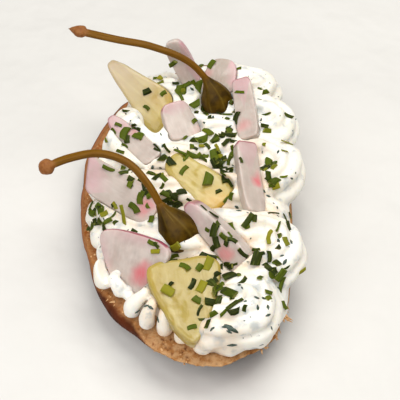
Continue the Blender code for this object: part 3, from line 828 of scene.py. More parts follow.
@dataclass(frozen=True)
class Slab:
    """A topping cut as a slab: long axis X with its outer (skin) end at +X.

    The place is its middle in millimetres. yaw is the heading of the long axis from +X towards +Y,
    pitch is its rise and roll lifts its left side, in degrees. The roundness values are superellipse
    exponents of the outline at each end. press is how high over it the cream has been pushed away, and
    clear is a way, in millimetres, on which it has also been pushed away beside it. skew is how
    slanting its outer end is cut, as a slope.
    """

    name: str
    place: tuple[float, float, float]
    turn: tuple[float, float, float]
    length: float
    outer_width: float
    inner_width: float
    thickness: float
    outer_roundness: float = 3.2
    inner_roundness: float = 5.0
    press: float = 7.0
    clear: tuple[float, float, float] | None = None
    skew: float = 0.0

    def matrix(self) -> np.ndarray:
        """Returns the topping's place in the slice's frame."""
        yaw, pitch, roll = (math.radians(angle) for angle in self.turn)
        turn = Matrix.Rotation(yaw, 4, "Z") @ Matrix.Rotation(-pitch, 4, "Y") @ Matrix.Rotation(roll, 4, "X")
        return np.array(Matrix.Translation(self.place) @ turn)

    def outline(self, angles: np.ndarray) -> np.ndarray:
        """Returns the outline: a superellipse whose width changes evenly along its length."""
        cosine, sine = np.cos(angles), np.sin(angles)
        power = 2.0 / np.where(cosine > 0.0, self.outer_roundness, self.inner_roundness)
        unit_x, unit_y = signed_power(cosine, power), signed_power(sine, power)
        width = self.inner_width + (self.outer_width - self.inner_width) * (unit_x + 1.0) / 2.0
        along = self.length * unit_x + self.skew * width * unit_y * (unit_x + 1.0) / 2.0
        return np.stack([along, width * unit_y], axis=1) / 2.0

    def cutters(self, grow: float) -> list[Surface]:
        """Returns the space that the topping has pressed out of the cream: itself, grown and raised."""
        angles = 2.0 * math.pi * (np.arange(64) + 0.5) / 64
        outline = self.outline(angles)
        outline = outline + unit(outline) * grow
        half = self.thickness / 2.0 + grow
        heights = (-half, 0.6 - half, half + self.press)
        rings = np.array([
            np.column_stack([outline * scale, np.full(len(outline), height)])
            for scale, height in zip((0.92, 1.0, 1.0), heights)
        ])
        made = ring_surface(rings, on_axis(-half), on_axis(half + self.press))
        made.points = placed(made.points, self.matrix())
        if self.clear is None:
            return [made]
        return [made, Surface(made.points + self.clear, made.quads, made.triangles)]

    def nearness(self, points: np.ndarray, reach: float) -> np.ndarray:
        """Returns how near points are to the topping: 1 on its box and 0 farther off than the reach."""
        local = placed(points, np.linalg.inv(self.matrix()))
        half = np.array([self.length, (self.outer_width + self.inner_width) / 2.0, self.thickness]) / 2.0
        gap = np.linalg.norm(np.maximum(np.abs(local) - half, 0.0), axis=1)
        return smooth_step(gap, reach, 0.0)


def placed(points: np.ndarray, matrix: np.ndarray) -> np.ndarray:
    """Returns points moved by a 4 x 4 matrix."""
    return points @ matrix[:3, :3].T + matrix[:3, 3]


def placed_copies(points: np.ndarray, matrices: np.ndarray) -> np.ndarray:
    """Returns the points of each copy moved by that copy's own 4 x 4 matrix."""
    return np.einsum("nij,nkj->nki", matrices[:, :3, :3], points) + matrices[:, None, :3, 3]


@dataclass(frozen=True)
class SlabLook:
    """What the cut face of a topping shows.

    skin_from and skin_to are the angles round the outline, in degrees from its outer end, between
    which the skin shows. heart is the pink or ripe spot: x and y as shares of the half length and
    half width, and its radius in millimetres. pale_to is how far the pale part reaches from the
    inner end, as a share of the length. curl bends the long axis, in millimetres at its ends. blush is
    how red the skin is, taper how much thinner the inner end is and deep how far the flesh is
    darkened by painted shade, standing for how little light falls on this piece, all as shares.
    the flesh is, all as shares.
    """

    skin_from: float = -60.0
    skin_to: float = 60.0
    heart: tuple[float, float, float] = (-0.6, 0.0, 4.0)
    heart_strength: float = 0.7
    pale_to: float = 0.0
    curl: float = 0.6
    seed: int = 1
    blush: float = 0.35
    taper: float = 0.0
    # share of painted shade on this piece's flesh
    deep: float = 0.0


@dataclass
class SlabShape:
    """Builds a fine mesh for a slab: two crowned cut faces joined by a rounded edge."""

    slab: Slab
    look: SlabLook
    sides: int = 176
    face_rows: int = 16
    edge_rows: int = 7
    side_step: float = 0.8
    crown: float = 0.05  # how far a cut face bulges, as a share of the thickness
    apart: float = 37.0  # how far apart two slabs lie in the noise, in millimetres
    tint_angle: float = 22.0  # how far past its ends, in degrees, the skin tints the rim
    tint_depth: float = 4.5  # and how far in from the rim, in millimetres, it tints the flesh
    wave: float = 0.35
    grain: float = 0.06
    corner: float = 0.45

    @property
    def rounding(self) -> float:
        """The radius of the edge between a face and the side."""
        return min(self.corner, self.slab.thickness * 0.3)

    @property
    def narrow(self) -> float:
        """The mean distance from the long axis to the rim."""
        return (self.slab.inner_width + self.slab.outer_width) / 4.0

    def flat_surface(self, angles: np.ndarray) -> tuple[Surface, np.ndarray]:
        """Returns the slab lying flat in its own frame, and the share of the outline at each point.

        Each ring is the outline, shrunk by its share, at its own height. The rings run out over the
        lower face, round a quarter circle, up the side, round a second one and in over the upper
        face.
        """
        half, corner = self.slab.thickness / 2.0, self.rounding
        arc = np.linspace(0.0, math.pi / 2.0, self.edge_rows)
        face = np.linspace(0.06, 1.0 - corner / self.narrow, self.face_rows, endpoint=False)
        edge = 1.0 - corner / self.narrow * (1.0 - np.sin(arc))
        side_count = max(3, round(self.slab.thickness / self.side_step))
        side_heights = np.linspace(corner - half, half - corner, side_count)[1:-1]
        crown = self.crown * self.slab.thickness * (1.0 - face**2)
        shares = np.concatenate([face, edge, np.ones(len(side_heights)), edge[::-1], face[::-1]])
        heights = np.concatenate([
            -half - crown, corner - half - corner * np.cos(arc), side_heights,
            half - corner + corner * np.cos(arc[::-1]), half + crown[::-1],
        ])
        rings = np.concatenate([
            self.slab.outline(angles)[None] * shares[:, None, None],
            np.broadcast_to(heights[:, None, None], (len(shares), self.sides, 1)),
        ], axis=2)
        made = ring_surface(rings, on_axis(heights[0]), on_axis(heights[-1]))
        return made, np.concatenate([np.repeat(shares, self.sides), [0.0, 0.0]])

    def surface(self) -> Surface:
        """Returns the slab in place.

        Its long axis bends as a parabola and waves of noise move every point. The skin shows on the
        rim between two angles and tints the flesh beside it.
        """
        slab, look, narrow = self.slab, self.look, self.narrow
        half, half_length = slab.thickness / 2.0, slab.length / 2.0
        angles = even_angles(self.sides)
        made, share = self.flat_surface(angles)
        flat = made.points.copy()
        turns = (len(flat) - 2) // self.sides
        angle = np.degrees(np.concatenate([np.tile(angles, turns), [0.0, 0.0]]))
        angle = (angle + 180.0) % 360.0 - 180.0
        seeded = flat + self.apart * look.seed
        along = flat[:, 0] / half_length
        points = flat.copy()
        points[:, 2] *= 1.0 - look.taper * (1.0 - along) / 2.0
        points[:, 2] += look.curl * (along**2 - 0.4)
        outwards = unit(np.column_stack([flat[:, :2] / narrow, flat[:, 2] / half]) + TINY)
        drift = fractal_noise(seeded, 5.5, 3, 3 * look.seed) * self.wave
        streak = fractal_noise(seeded * (0.2, 1.0, 1.0), 1.3, 3, 5 * look.seed) * self.grain
        points += outwards * (drift + streak)[:, None]

        middle = (look.skin_from + look.skin_to) / 2.0
        away = np.abs((angle - middle + 180.0) % 360.0 - 180.0) - (look.skin_to - look.skin_from) / 2.0
        band = smooth_step(away + 6.0 * value_noise(seeded, 2.0, 7), 8.0, -4.0)
        edge_share = 1.0 - 0.3 * self.rounding / narrow
        skin = look.blush * band * smooth_step(share, edge_share - 0.015, edge_share + 0.01)
        skin_gap = np.clip(away, 0.0, None) / self.tint_angle + (1.0 - share) * narrow / self.tint_depth
        near_skin = smooth_step(skin_gap, 1.0, 0.0) * (1.0 - 0.6 * look.blush)
        heart_x, heart_y, heart_radius = look.heart
        local_width = slab.inner_width + (slab.outer_width - slab.inner_width) * (along + 1.0) / 2.0
        gap = np.hypot(flat[:, 0] - heart_x * half_length, flat[:, 1] - heart_y * local_width / 2.0)
        spot = smooth_step(gap + 1.2 * fractal_noise(seeded, 2.5, 2, 9), heart_radius, 0.15 * heart_radius)
        pale_edge = along + 0.15 * value_noise(seeded, 3.0, 8)
        made.values = {
            "skin": skin,
            "near_skin": near_skin,
            "heart": spot * look.heart_strength,
            "ripe": spot * look.heart_strength,
            # painted shade: the piece's own share, varied a little by noise
            "deep": look.deep * (0.8 + 0.35 * fractal_noise(seeded, 4.0, 2, 15)),
            "pale": smooth_step(pale_edge, 2.0 * look.pale_to - 0.9, -1.1),
            "local": seeded * MM,
        }
        made.points = placed(points, slab.matrix())
        return made

    def build(self, material: Material, slot: str) -> Piece:
        """Makes the topping and lets it stand for the CAD node of the same name."""
        piece = make_piece(f"{self.slab.name}_flesh", self.surface(), material)
        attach(piece, ROOT_BODY)
        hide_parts(self.slab.name)
        return piece


RADISHES = (
    (Slab("radish_near", (-14.3, -31.8, 7.7), (76, 52, -19), 17.7, 28.2, 8.0, 1.8, 3.2, 2.4, 12.0),
     SlabLook(-40, 100, (-0.15, -0.5, 5.0), 0.85, curl=-0.6, seed=1, blush=0.9)),
    (Slab("radish_left", (-18.0, -8.9, 11.8), (146.4, 5.8, -31), 24.2, 10.3, 10.8, 2.6, 9.0, 4.0, skew=-0.49),
     SlabLook(-50, 50, (-0.7, 0.0, 4.6), 0.6, seed=2, blush=0.3, deep=0.6)),
    (Slab("radish_left_back", (-16.0, 13.8, 10.6), (131, 6, -12), 21.0, 4.6, 8.0, 2.4, press=3.0),
     SlabLook(-60, 60, (0.1, -0.7, 3.0), 0.35, seed=3, blush=0.5, deep=0.4)),
    (Slab("radish_back", (-0.9, 43.5, 14.6), (146, 60, -57), 17.6, 7.1, 6.5, 2.4, 3.0, press=6.0),
     SlabLook(-140, -40, (-0.2, 0.2, 3.0), 0.08, seed=4, blush=0.3)),
    (Slab("radish_middle", (-2.0, 20.5, 11.9), (115, 28, 8), 12.0, 8.7, 11.0, 2.4, 4.5, press=5.0),
     SlabLook(-60, 60, (-0.9, -0.8, 4.0), 0.12, seed=5, blush=0.6, deep=0.4)),
    (Slab("radish_far", (10.6, 40.9, 11.1), (77, 9, -2), 13.4, 9.0, 11.4, 2.4),
     SlabLook(-110, -30, (0.0, 0.9, 3.0), 0.25, seed=6, blush=0.25, deep=1.0)),
    (Slab("radish_right_back", (18.2, 24.8, 12.6), (95, 8.4, -20), 22.7, 6.0, 6.9, 2.8, 8.0),
     SlabLook(-50, 50, (-0.6, 0.3, 3.4), 0.35, seed=7, blush=0.5, deep=0.4)),
    (Slab("radish_right", (18.5, -3.9, 12.7), (95.7, 9, 24), 24.3, 6.9, 6.8, 3.0, 8.0),
     SlabLook(-50, 50, (-0.11, -0.5, 3.0), 0.95, seed=8, blush=0.8, deep=0.55)),
    (Slab("radish_centre", (8.9, -24.1, 12.2), (132, 15, -55), 23.4, 5.2, 8.4, 4.6, clear=(2.4, 1.2, 2.6)),
     SlabLook(-45, 45, (-0.56, 0.3, 3.6), 0.55, seed=9, blush=0.6, deep=0.05)),
)
FRUITS = (
    (Slab("fruit_near", (1.0, -45.3, 8.4), (98.8, 10.5, -0.3), 24.8, 24.0, 7.2, 5.6, 4.0, 2.4),
     SlabLook(heart=(0.3, 0.9, 8.0), heart_strength=0.3, curl=0.3, seed=11, taper=0.2, deep=0.9)),
    (Slab("fruit_middle", (3.5, -2.2, 8.8), (-40, -11.9, 12), 21.4, 12.9, 8.4, 5.0, 4.0, 3.6),
     SlabLook(heart=(0.9, -0.6, 8.0), heart_strength=0.95, curl=0.2, seed=12, deep=0.25)),
    (Slab("fruit_far", (-14.7, 33.0, 12.8), (-37.2, -27.7, 30.9), 25.3, 15.7, 3.5, 3.4, 4.0, 5.0, 15.0,
          skew=-0.41),
     SlabLook(heart=(0.55, 0.6, 7.5), heart_strength=0.5, pale_to=1.1, curl=0.3, seed=13, taper=0.2,
              deep=0.55)),
)
# What sets the fruit's wedges apart from the radish slices: softer waves and edges, and a finer mesh.
FRUIT_SHAPE = {"wave": 0.6, "grain": 0.04, "corner": 0.9, "sides": 240, "face_rows": 26}

# The toppings whose light, passing through and bouncing off them, is painted as a warm tint on the cream
# beside them.
JUICY = ("fruit_near", "fruit_middle", "radish_centre", "radish_right", "radish_left")


@dataclass(frozen=True)
class CaperBerry:
    """A berry on its stem, swept along a line from its buried end to the knob."""

    name: str
    line: tuple
    knob_point: float  # how pointed the knob's end is, from 0 to 1
    wide: float  # the body's width across the line over its depth
    clear: tuple[float, float, float]  # the way on which the cream beside it has been pushed away
    length: float = 15.0
    radius: float = 4.6
    stem_radius: float = 0.95
    knob_radius: float = 2.3
    knob_length: float = 4.6
    # The body's radius over its greatest, at shares of its length.
    drop: tuple = ((0.0, 0.0), (0.02, 0.3), (0.08, 0.62), (0.2, 0.9), (0.34, 1.0), (0.5, 0.93), (0.66, 0.7),
                   (0.8, 0.46), (0.92, 0.28), (1.0, 0.2))
    ribs: int = 7
    sides: int = 64
    step: float = 0.3

    def radii(self, reach: np.ndarray, grow: float = 0.0) -> np.ndarray:
        """Returns the radius along the line: a drop for the body, a thin stem and a small knob.

        Args:
            reach: Distances from the buried end.
            grow: Added all round.
        """
        total = reach[-1]
        share = np.clip(reach / self.length, 0.0, 1.0)
        knots = smooth_line(self.drop, 0.01)
        body = self.radius * np.interp(share, knots[:, 0], knots[:, 1])
        body = np.where(reach < self.length, body, 0.0)
        left = np.clip((total - reach) / self.knob_length, 0.0, 1.0)
        knob = self.knob_radius * np.sqrt(np.clip(1.0 - (2.0 * left - 1.0) ** 2, 0.0, 1.0))
        knob = knob * (1.0 - self.knob_point * (1.0 - left) ** 2)
        stem = self.stem_radius * (1.0 + 0.25 * reach / total)
        stem = np.where(reach < self.length * 0.5, 0.0, stem) * smooth_step(left, -0.02, 0.5)
        return np.maximum(np.maximum(body, knob), stem) + 0.02 + grow

    def surface(self, grow: float = 0.0) -> Surface:
        """Returns the berry, its stem and its knob as one skin with faint ribs."""
        path = smooth_line(self.line, self.step)
        reach = path_reach(path)
        total = reach[-1]
        bends = np.array(self.line)
        reference = unit(np.cross(bends[-1] - bends[0], bends[len(bends) // 2] - bends[0]))
        made = sweep(path, self.radii(reach, grow), np.ones(self.sides), reference, 0.3)
        along = np.concatenate([np.repeat(reach, self.sides), [0.0, total]])
        angle = even_angles(self.sides)
        around = np.concatenate([np.tile(angle, len(path)), [0.0, 0.0]])
        centre = np.concatenate([np.repeat(path, self.sides, axis=0), path[:1], path[-1:]])
        on_body = smooth_step(along, self.length * 1.05, self.length * 0.75)
        on_knob = smooth_step(along, total - self.knob_length * 1.3, total - self.knob_length * 0.75)
        rib = np.cos(around * self.ribs + 0.8 * np.sin(along / 6.0))
        lift = 0.07 * on_body * rib + on_knob * 0.3 * fractal_noise(made.points, 1.6, 2, 41)
        lift += (1.0 - on_body) * 0.08 * np.cos(3.0 * around + along / 9.0)
        lift += 0.3 * on_body * value_noise(made.points, 6.0, 43)
        spoke = made.points - centre
        stretch = 1.0 + (self.wide - 1.0) * on_body * smooth_step(along, 0.0, 3.0)
        across = spoke @ reference
        spoke = spoke + np.outer(across * (stretch - 1.0), reference)
        made.points = centre + spoke + unit(spoke + TINY) * lift[:, None] * (grow == 0.0)
        unrolled = np.column_stack([along, self.radius * np.cos(around), self.radius * np.sin(around)])
        made.values = {
            "stem": smooth_step(along, self.length * 0.86, self.length * 1.08),
            "knob": on_knob,
            "rib": smooth_step(rib, 0.93, 1.0) * on_body * 0.25,
            "local": unrolled * MM,
        }
        return made

    def cutters(self, grow: float) -> list[Surface]:
        """Returns what the berry has pressed out of the cream: itself, grown, and a shifted copy."""
        made = self.surface(grow)
        return [made, Surface(made.points + self.clear, made.quads, made.triangles)]

    def build(self, material: Material) -> Piece:
        """Makes the berry and lets it stand for the CAD node of the same name."""
        piece = make_piece(f"{self.name}_skin", self.surface(), material)
        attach(piece, ROOT_BODY)
        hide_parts(self.name)
        return piece


BERRIES = (
    CaperBerry("caper_berry_near", (
        (1.5, -23.5, 4.2), (-2.0, -21.3, 10.2), (-6.3, -18.6, 16.8), (-10.0, -14.6, 21.8),
        (-15.6, -9.4, 24.8), (-23.5, -6.8, 25.8), (-31.8, -7.6, 24.8), (-40.5, -9.9, 22.4),
    ), 0.1, 1.02, length=16.6, radius=6.2, clear=(0.0, 0.0, 0.0)),
    CaperBerry("caper_berry_far", (
        (10.8, 30.2, 4.2), (9.4, 32.2, 10.2), (6.2, 34.3, 16.6), (0.0, 37.0, 22.0),
        (-10.8, 38.9, 25.8), (-21.5, 40.4, 27.2), (-36.0, 44.9, 27.7),
    ), 0.8, 0.95, length=15.0, radius=4.8, clear=(-1.8, -2.6, 2.6), knob_length=6.2, knob_radius=2.2),
)


# ---------------------------------------------------------------- cream


@dataclass
class PipedCream:
    """The herb cream: a fluted rope piped in a zigzag over a low bed, with fingers at the front left."""

    slice: ToastedSlice
    rope_radius: float = 6.6
    rope_height: float = 5.6
    flutes: int = 8
    flute_depth: float = 0.15
    rows: tuple = (-51.5, -43.0, -33.0, -20.0, -3.5, 10.0, 19.5, 28.0, 36.0, 43.5)
    overhang: tuple = (-0.8, 3.2, 3.4, 3.6, 0.4)
    inset: tuple = (17.0, 3.4, 6.0, 7.0)
    row_start: float = 1.0
    last_gap: float = 10.0
    waver: float = 1.0
    step: float = 0.8
    sides: int = 96
    bed_middle: tuple = (5.0, -1.5)
    bed_size: tuple = (25.6 / 31.0, 53.0 / 60.0)
    bed_rows: tuple = ((0.97, -2.0), (1.0, 1.0), (0.98, 4.0), (0.92, 6.0))
    sway: tuple = (1.5, 1.5, 0.8)  # how far the wide noise moves the rope and the bed
    lumps: float = 0.45  # and how far the fine noise does
    rest_height: float = 0.12  # no cream lies lower over the bread's top plane
    # how far from the toppings the painted bounce light reaches
    juice_reach: float = 7.0
    voxel: float = 0.5
    final_voxel: float = 0.47
    gap: float = 0.15
    # Soft lobes round the edge: x, y, height and radius.
    lobes: tuple = (
        (11.8, -54.4, 4.0, 5.4),
        (18.4, -52.0, 4.2, 5.2),
        (22.6, -45.2, 4.2, 5.2),
        (29.0, -28.5, 5.0, 5.0),
        (26.2, -12.4, 4.8, 5.2),
        (15.0, 47.4, 4.6, 6.0),
        (21.4, 43.6, 4.6, 5.6),
        (3.2, 49.2, 4.0, 4.6),
        (-6.2, 45.5, 4.0, 4.6),
        (-10.6, 43.0, 4.0, 4.6),
        (-21.2, 19.6, 2.4, 4.6),
        (-23.2, 10.0, 2.8, 4.6),
        (-24.6, -0.6, 3.4, 4.8),
        (-24.8, -10.0, 3.4, 4.8),
        (-23.0, -17.6, 3.2, 4.4),
        (-21.0, -24.4, 3.2, 4.0),
    )
    # Dabs that were spread over the toppings afterwards: x, y, height and radius.
    dabs: tuple = (
        (-17.6, 25.4, 6.4, 4.9),
        (-20.4, 14.0, 6.2, 4.0),
        (5.6, -25.2, 4.6, 4.2),
        (-1.0, -27.0, 4.0, 3.6),
        (-11.4, -40.2, 1.4, 2.4),
    )
    # Each finger: foot x and y, top x and y, top height and radius. A topping pressed into the first one.
    pressed_fingers: int = 1
    fingers: tuple = (
        (-22.3, -33.8, -22.8, -30.8, 6.4, 2.8),
        (-17.6, -37.2, -19.4, -34.4, 5.2, 2.1),
        (-14.8, -39.2, -15.8, -37.8, 3.2, 1.6),
        (-14.1, -43.9, -10.8, -42.6, 8.4, 2.35),
        (-9.9, -47.8, -8.6, -46.2, 8.4, 2.25),
        (-5.2, -50.2, -5.0, -48.2, 8.2, 2.15),
        (-0.4, -53.2, -0.6, -51.2, 3.6, 2.2),
        (5.1, -55.2, 5.9, -53.6, 8.2, 3.0),
    )

    def rope_line(self) -> np.ndarray:
        """Returns the zigzag's middle line: straight rows joined by half ellipses at alternate edges."""
        line = [(self.row_start, self.rows[0], self.rope_height)]
        side = 1
        for number, (low, high) in enumerate(zip(self.rows, self.rows[1:])):
            radius = (high - low) / 2.0
            middle = (low + high) / 2.0
            reach = self.overhang[number // 2] if side > 0 else -self.inset[number // 2]
            apex = self.slice.edge(middle, side) + side * (reach - self.rope_radius)
            bend = min(radius * 1.25, 8.0)
            turn = np.linspace(-math.pi / 2.0, math.pi / 2.0, 9)
            line.extend(np.column_stack([
                apex + side * bend * (np.cos(turn) - 1.0),
                middle + radius * np.sin(turn),
                np.full(len(turn), self.rope_height),
            ]))
            side = -side
        last_x = self.slice.edge(self.rows[-1], side) - side * (self.rope_radius + self.last_gap)
        line.append((last_x, self.rows[-1], self.rope_height))
        path = resample(np.array(line), self.step)
        along = path_reach(path)
        path[:, 1] += self.waver * np.sin(along / 9.0)
        path[:, 2] += self.waver * np.sin(along / 13.0 + 1.0)
        return path

    def nozzle(self, depth: float, turn: float = 0.0) -> np.ndarray:
        """Returns the star nozzle's ring: rounded ridges with narrow valleys of the given depth."""
        waves = np.abs(np.cos(self.flutes * even_angles(self.sides) / 2.0 + turn))
        return 1.0 + depth * (1.0 - 2.0 * (1.0 - waves) ** 1.5)

    def rope(self) -> Surface:
        """Returns the rope: the star nozzle's ring carried along the zigzag."""
        path = self.rope_line()
        along = path_reach(path)
        radii = self.rope_radius * (1.0 + 0.05 * np.sin(along / 7.0))
        radii *= np.clip(np.minimum(along, along[-1] - along) / self.rope_radius + 0.55, 0.0, 1.0)
        return sweep(path, radii, self.nozzle(self.flute_depth), (0.0, 0.0, 1.0), 0.4)

    def bed(self) -> Surface:
        """Returns the low bed under the rope: the bread's outline, drawn in and rounded at the top."""
        angles = even_angles(128)
        outline = self.slice.outline(angles) * self.bed_size
        rings = np.array([
            np.column_stack([outline * scale + self.bed_middle, np.full(len(outline), height)])
            for scale, height in self.bed_rows
        ])
        low, high = self.bed_rows[0][1], self.bed_rows[-1][1]
        return ring_surface(rings, np.array([*self.bed_middle, low]), np.array([*self.bed_middle, high]))

    def finger(self, foot_x: float, foot_y: float, top_x: float, top_y: float, top_z: float,
               radius: float) -> Surface:
        """Returns one finger: a drop that stands on the bread's rim, narrows upwards and leans in."""
        foot, top = np.array([foot_x, foot_y, 2.4]), np.array([top_x, top_y, top_z])
        run = top - foot
        inward = np.array([self.bed_middle[0] - foot_x, self.bed_middle[1] - foot_y, 0.0])
        end = top + 4.0 * inward / np.linalg.norm(inward) - (0.0, 0.0, 1.0)
        line = smooth_line([foot, foot + run * (0.1, 0.1, 0.5), top, end], self.step)
        share = path_reach(line) / path_reach(line)[-1]
        radii = radius * np.interp(share, (0.0, 0.2, 0.45, 0.7, 1.0), (0.96, 1.0, 0.84, 0.62, 0.5))
        return sweep(line, radii, np.ones(32), (0.3, -0.2, 0.1), 0.55)

    def dollop(self, x: float, y: float, height: float, radius: float) -> Surface:
        """Returns a soft lobe at the edge: a short fluted rope that swells and then runs in over the bed."""
        inward = unit(np.array([[self.bed_middle[0] - x, self.bed_middle[1] - y, 0.0]]))[0] * radius
        middle, rise = np.array([x, y, height]), np.array([0.0, 0.0, 0.15 * radius])
        line = smooth_line([middle - inward * 0.6 - rise, middle, middle + inward * 0.9 + rise,
                            middle + inward * 1.9], self.step)
        share = path_reach(line) / path_reach(line)[-1]
        radii = radius * np.interp(share, (0.0, 0.1, 0.26, 0.6, 1.0), (0.55, 0.84, 1.0, 0.92, 0.6))
        return sweep(line, radii, self.nozzle(0.6 * self.flute_depth, x), (0.0, 0.0, 1.0), 0.5)

    def lobe(self, x: float, y: float, height: float, radius: float) -> Surface:
        """Returns a soft lobe: an upright ball."""
        tilts = np.radians(np.linspace(-75.0, 75.0, 13))
        line = np.column_stack([np.full(13, x), np.full(13, y), height + radius * np.sin(tilts)])
        return sweep(line, radius * np.cos(tilts), np.ones(40), (1.0, 0.0, 0.0), 0.2)

    def build(self, material: Material, cutters: Sequence[Surface],
              wet: Sequence[Slab]) -> Piece:
        """Melts all of it into one skin, presses the toppings into it and lets it stand for the CAD cream.

        Args:
            material: The cream's finish.
            cutters: What the toppings have pressed out.
            wet: The toppings beside which warm light, passing through and bouncing off them, is painted on
                the cream.
        """
        raw = joined([self.rope(), self.bed(), *(self.dollop(*lobe) for lobe in self.lobes)])
        raw.points += vector_noise(raw.points, 11.0, 2, 60) * self.sway
        raw.points += vector_noise(raw.points, 4.5, 2, 70) * self.lumps
        fingers = [self.finger(*finger) for finger in self.fingers]
        raw = joined([raw, *fingers[: self.pressed_fingers]])
        cream = make_piece("herb_cream_piping", raw, material)
        melt(cream, self.voxel)
        points = mesh_points(cream.data)
        points[:, 2] = np.maximum(points[:, 2], self.rest_height)
        set_mesh_points(cream.data, points)
        press(cream, cutters)
        added = [*(self.lobe(*dab) for dab in self.dabs), *fingers[self.pressed_fingers :]]
        old = cream.data
        cream.data = make_mesh("herb_cream_piping", joined([mesh_surface(old), *added]))
        cream.data.materials.append(material)
        bpy.data.meshes.remove(old)
        melt(cream, self.final_voxel)
        soften = cream.modifiers.new("soften", "SMOOTH")
        soften.factor = 0.5
        soften.iterations = 2
        apply_modifiers(cream)
        keep_largest_body(cream)
        cream.data.shade_smooth()
        # painted warm bounce light from the toppings, stored on the cream
        juice = cream.data.attributes.new("juice", "FLOAT", "POINT")
        points = mesh_points(cream.data)
        stain = np.max([topping.nearness(points, self.juice_reach) for topping in wet], axis=0)
        juice.data.foreach_set("value", stain.astype(np.float32))
        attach(cream, ROOT_BODY)
        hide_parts("herb_cream")
        return cream


def mesh_surface(mesh: bpy.types.Mesh) -> Surface:
    """Returns a mesh as a surface of triangles."""
    mesh.calc_loop_triangles()
    return Surface(mesh_points(mesh), NO_QUADS, stored_numbers(mesh.loop_triangles, "vertices", 3))


def apply_modifiers(piece: Piece) -> None:
    """Turns a piece's modifiers into mesh."""
    graph = bpy.context.evaluated_depsgraph_get()
    mesh = bpy.data.meshes.new_from_object(piece.evaluated_get(graph))
    piece.modifiers.clear()
    old = piece.data
    piece.data = mesh
    bpy.data.meshes.remove(old)


def press(piece: Piece, cutters: Sequence[Surface]) -> None:
    """Cuts surfaces out of a piece, one after the other."""
    for number, cutter in enumerate(cutters):
        block = make_piece(f"press_{number}", cutter, None)
        pressed = piece.modifiers.new("press", "BOOLEAN")
        pressed.operation = "DIFFERENCE"
        pressed.solver = "EXACT"
        pressed.object = block
        apply_modifiers(piece)
        bpy.data.objects.remove(block)


def melt(piece: Piece, voxel: float) -> None:
    """Rebuilds a piece as one even skin.

    Args:
        piece: The object.
        voxel: Width of the grid's cells in millimetres.
    """
    remesh = piece.modifiers.new("melt", "REMESH")
    remesh.mode = "VOXEL"
    remesh.voxel_size = voxel * MM
    remesh.use_smooth_shade = True
    apply_modifiers(piece)


def keep_largest_body(piece: Piece) -> None:
    """Removes every loose scrap of a piece but its largest body.

    Each point takes the lowest number among itself and its neighbours, again and again, until every
    body has one number.
    """
    mesh = piece.data
    ends = stored_numbers(mesh.edges, "vertices", 2)
    label = np.arange(len(mesh.vertices))
    while True:
        fresh = label.copy()
        low = np.minimum(label[ends[:, 0]], label[ends[:, 1]])
        np.minimum.at(fresh, ends[:, 0], low)
        np.minimum.at(fresh, ends[:, 1], low)
        fresh = fresh[fresh]
        if np.array_equal(fresh, label):
            break
        label = fresh
    names, counts = np.unique(label, return_counts=True)
    loose = np.flatnonzero(label != names[np.argmax(counts)])
    if len(loose) == 0:
        return
    keep = np.ones(len(label), bool)
    keep[loose] = False
    loops = stored_numbers(mesh.loops, "vertex_index")
    starts = stored_numbers(mesh.polygons, "loop_start")
    totals = stored_numbers(mesh.polygons, "loop_total")
    number = np.cumsum(keep) - 1
    faces = [number[loops[s : s + t]].tolist() for s, t in zip(starts, totals) if keep[loops[s]]]
    points = mesh_points(mesh)[keep]
    rebuilt = bpy.data.meshes.new(mesh.name)
    rebuilt.from_pydata(((points + SLICE_ORIGIN) * MM).tolist(), [], faces)
    rebuilt.materials.append(mesh.materials[0])
    piece.data = rebuilt


# ---------------------------------------------------------------- garnish


class Tone(Enum):
    """How light a piece of chive is: partly its own colour, partly painted light and shade."""

    DARK = 0.1
    MIDDLE = 0.45
    BRIGHT = 0.85


D, M, B = Tone.DARK, Tone.MIDDLE, Tone.BRIGHT

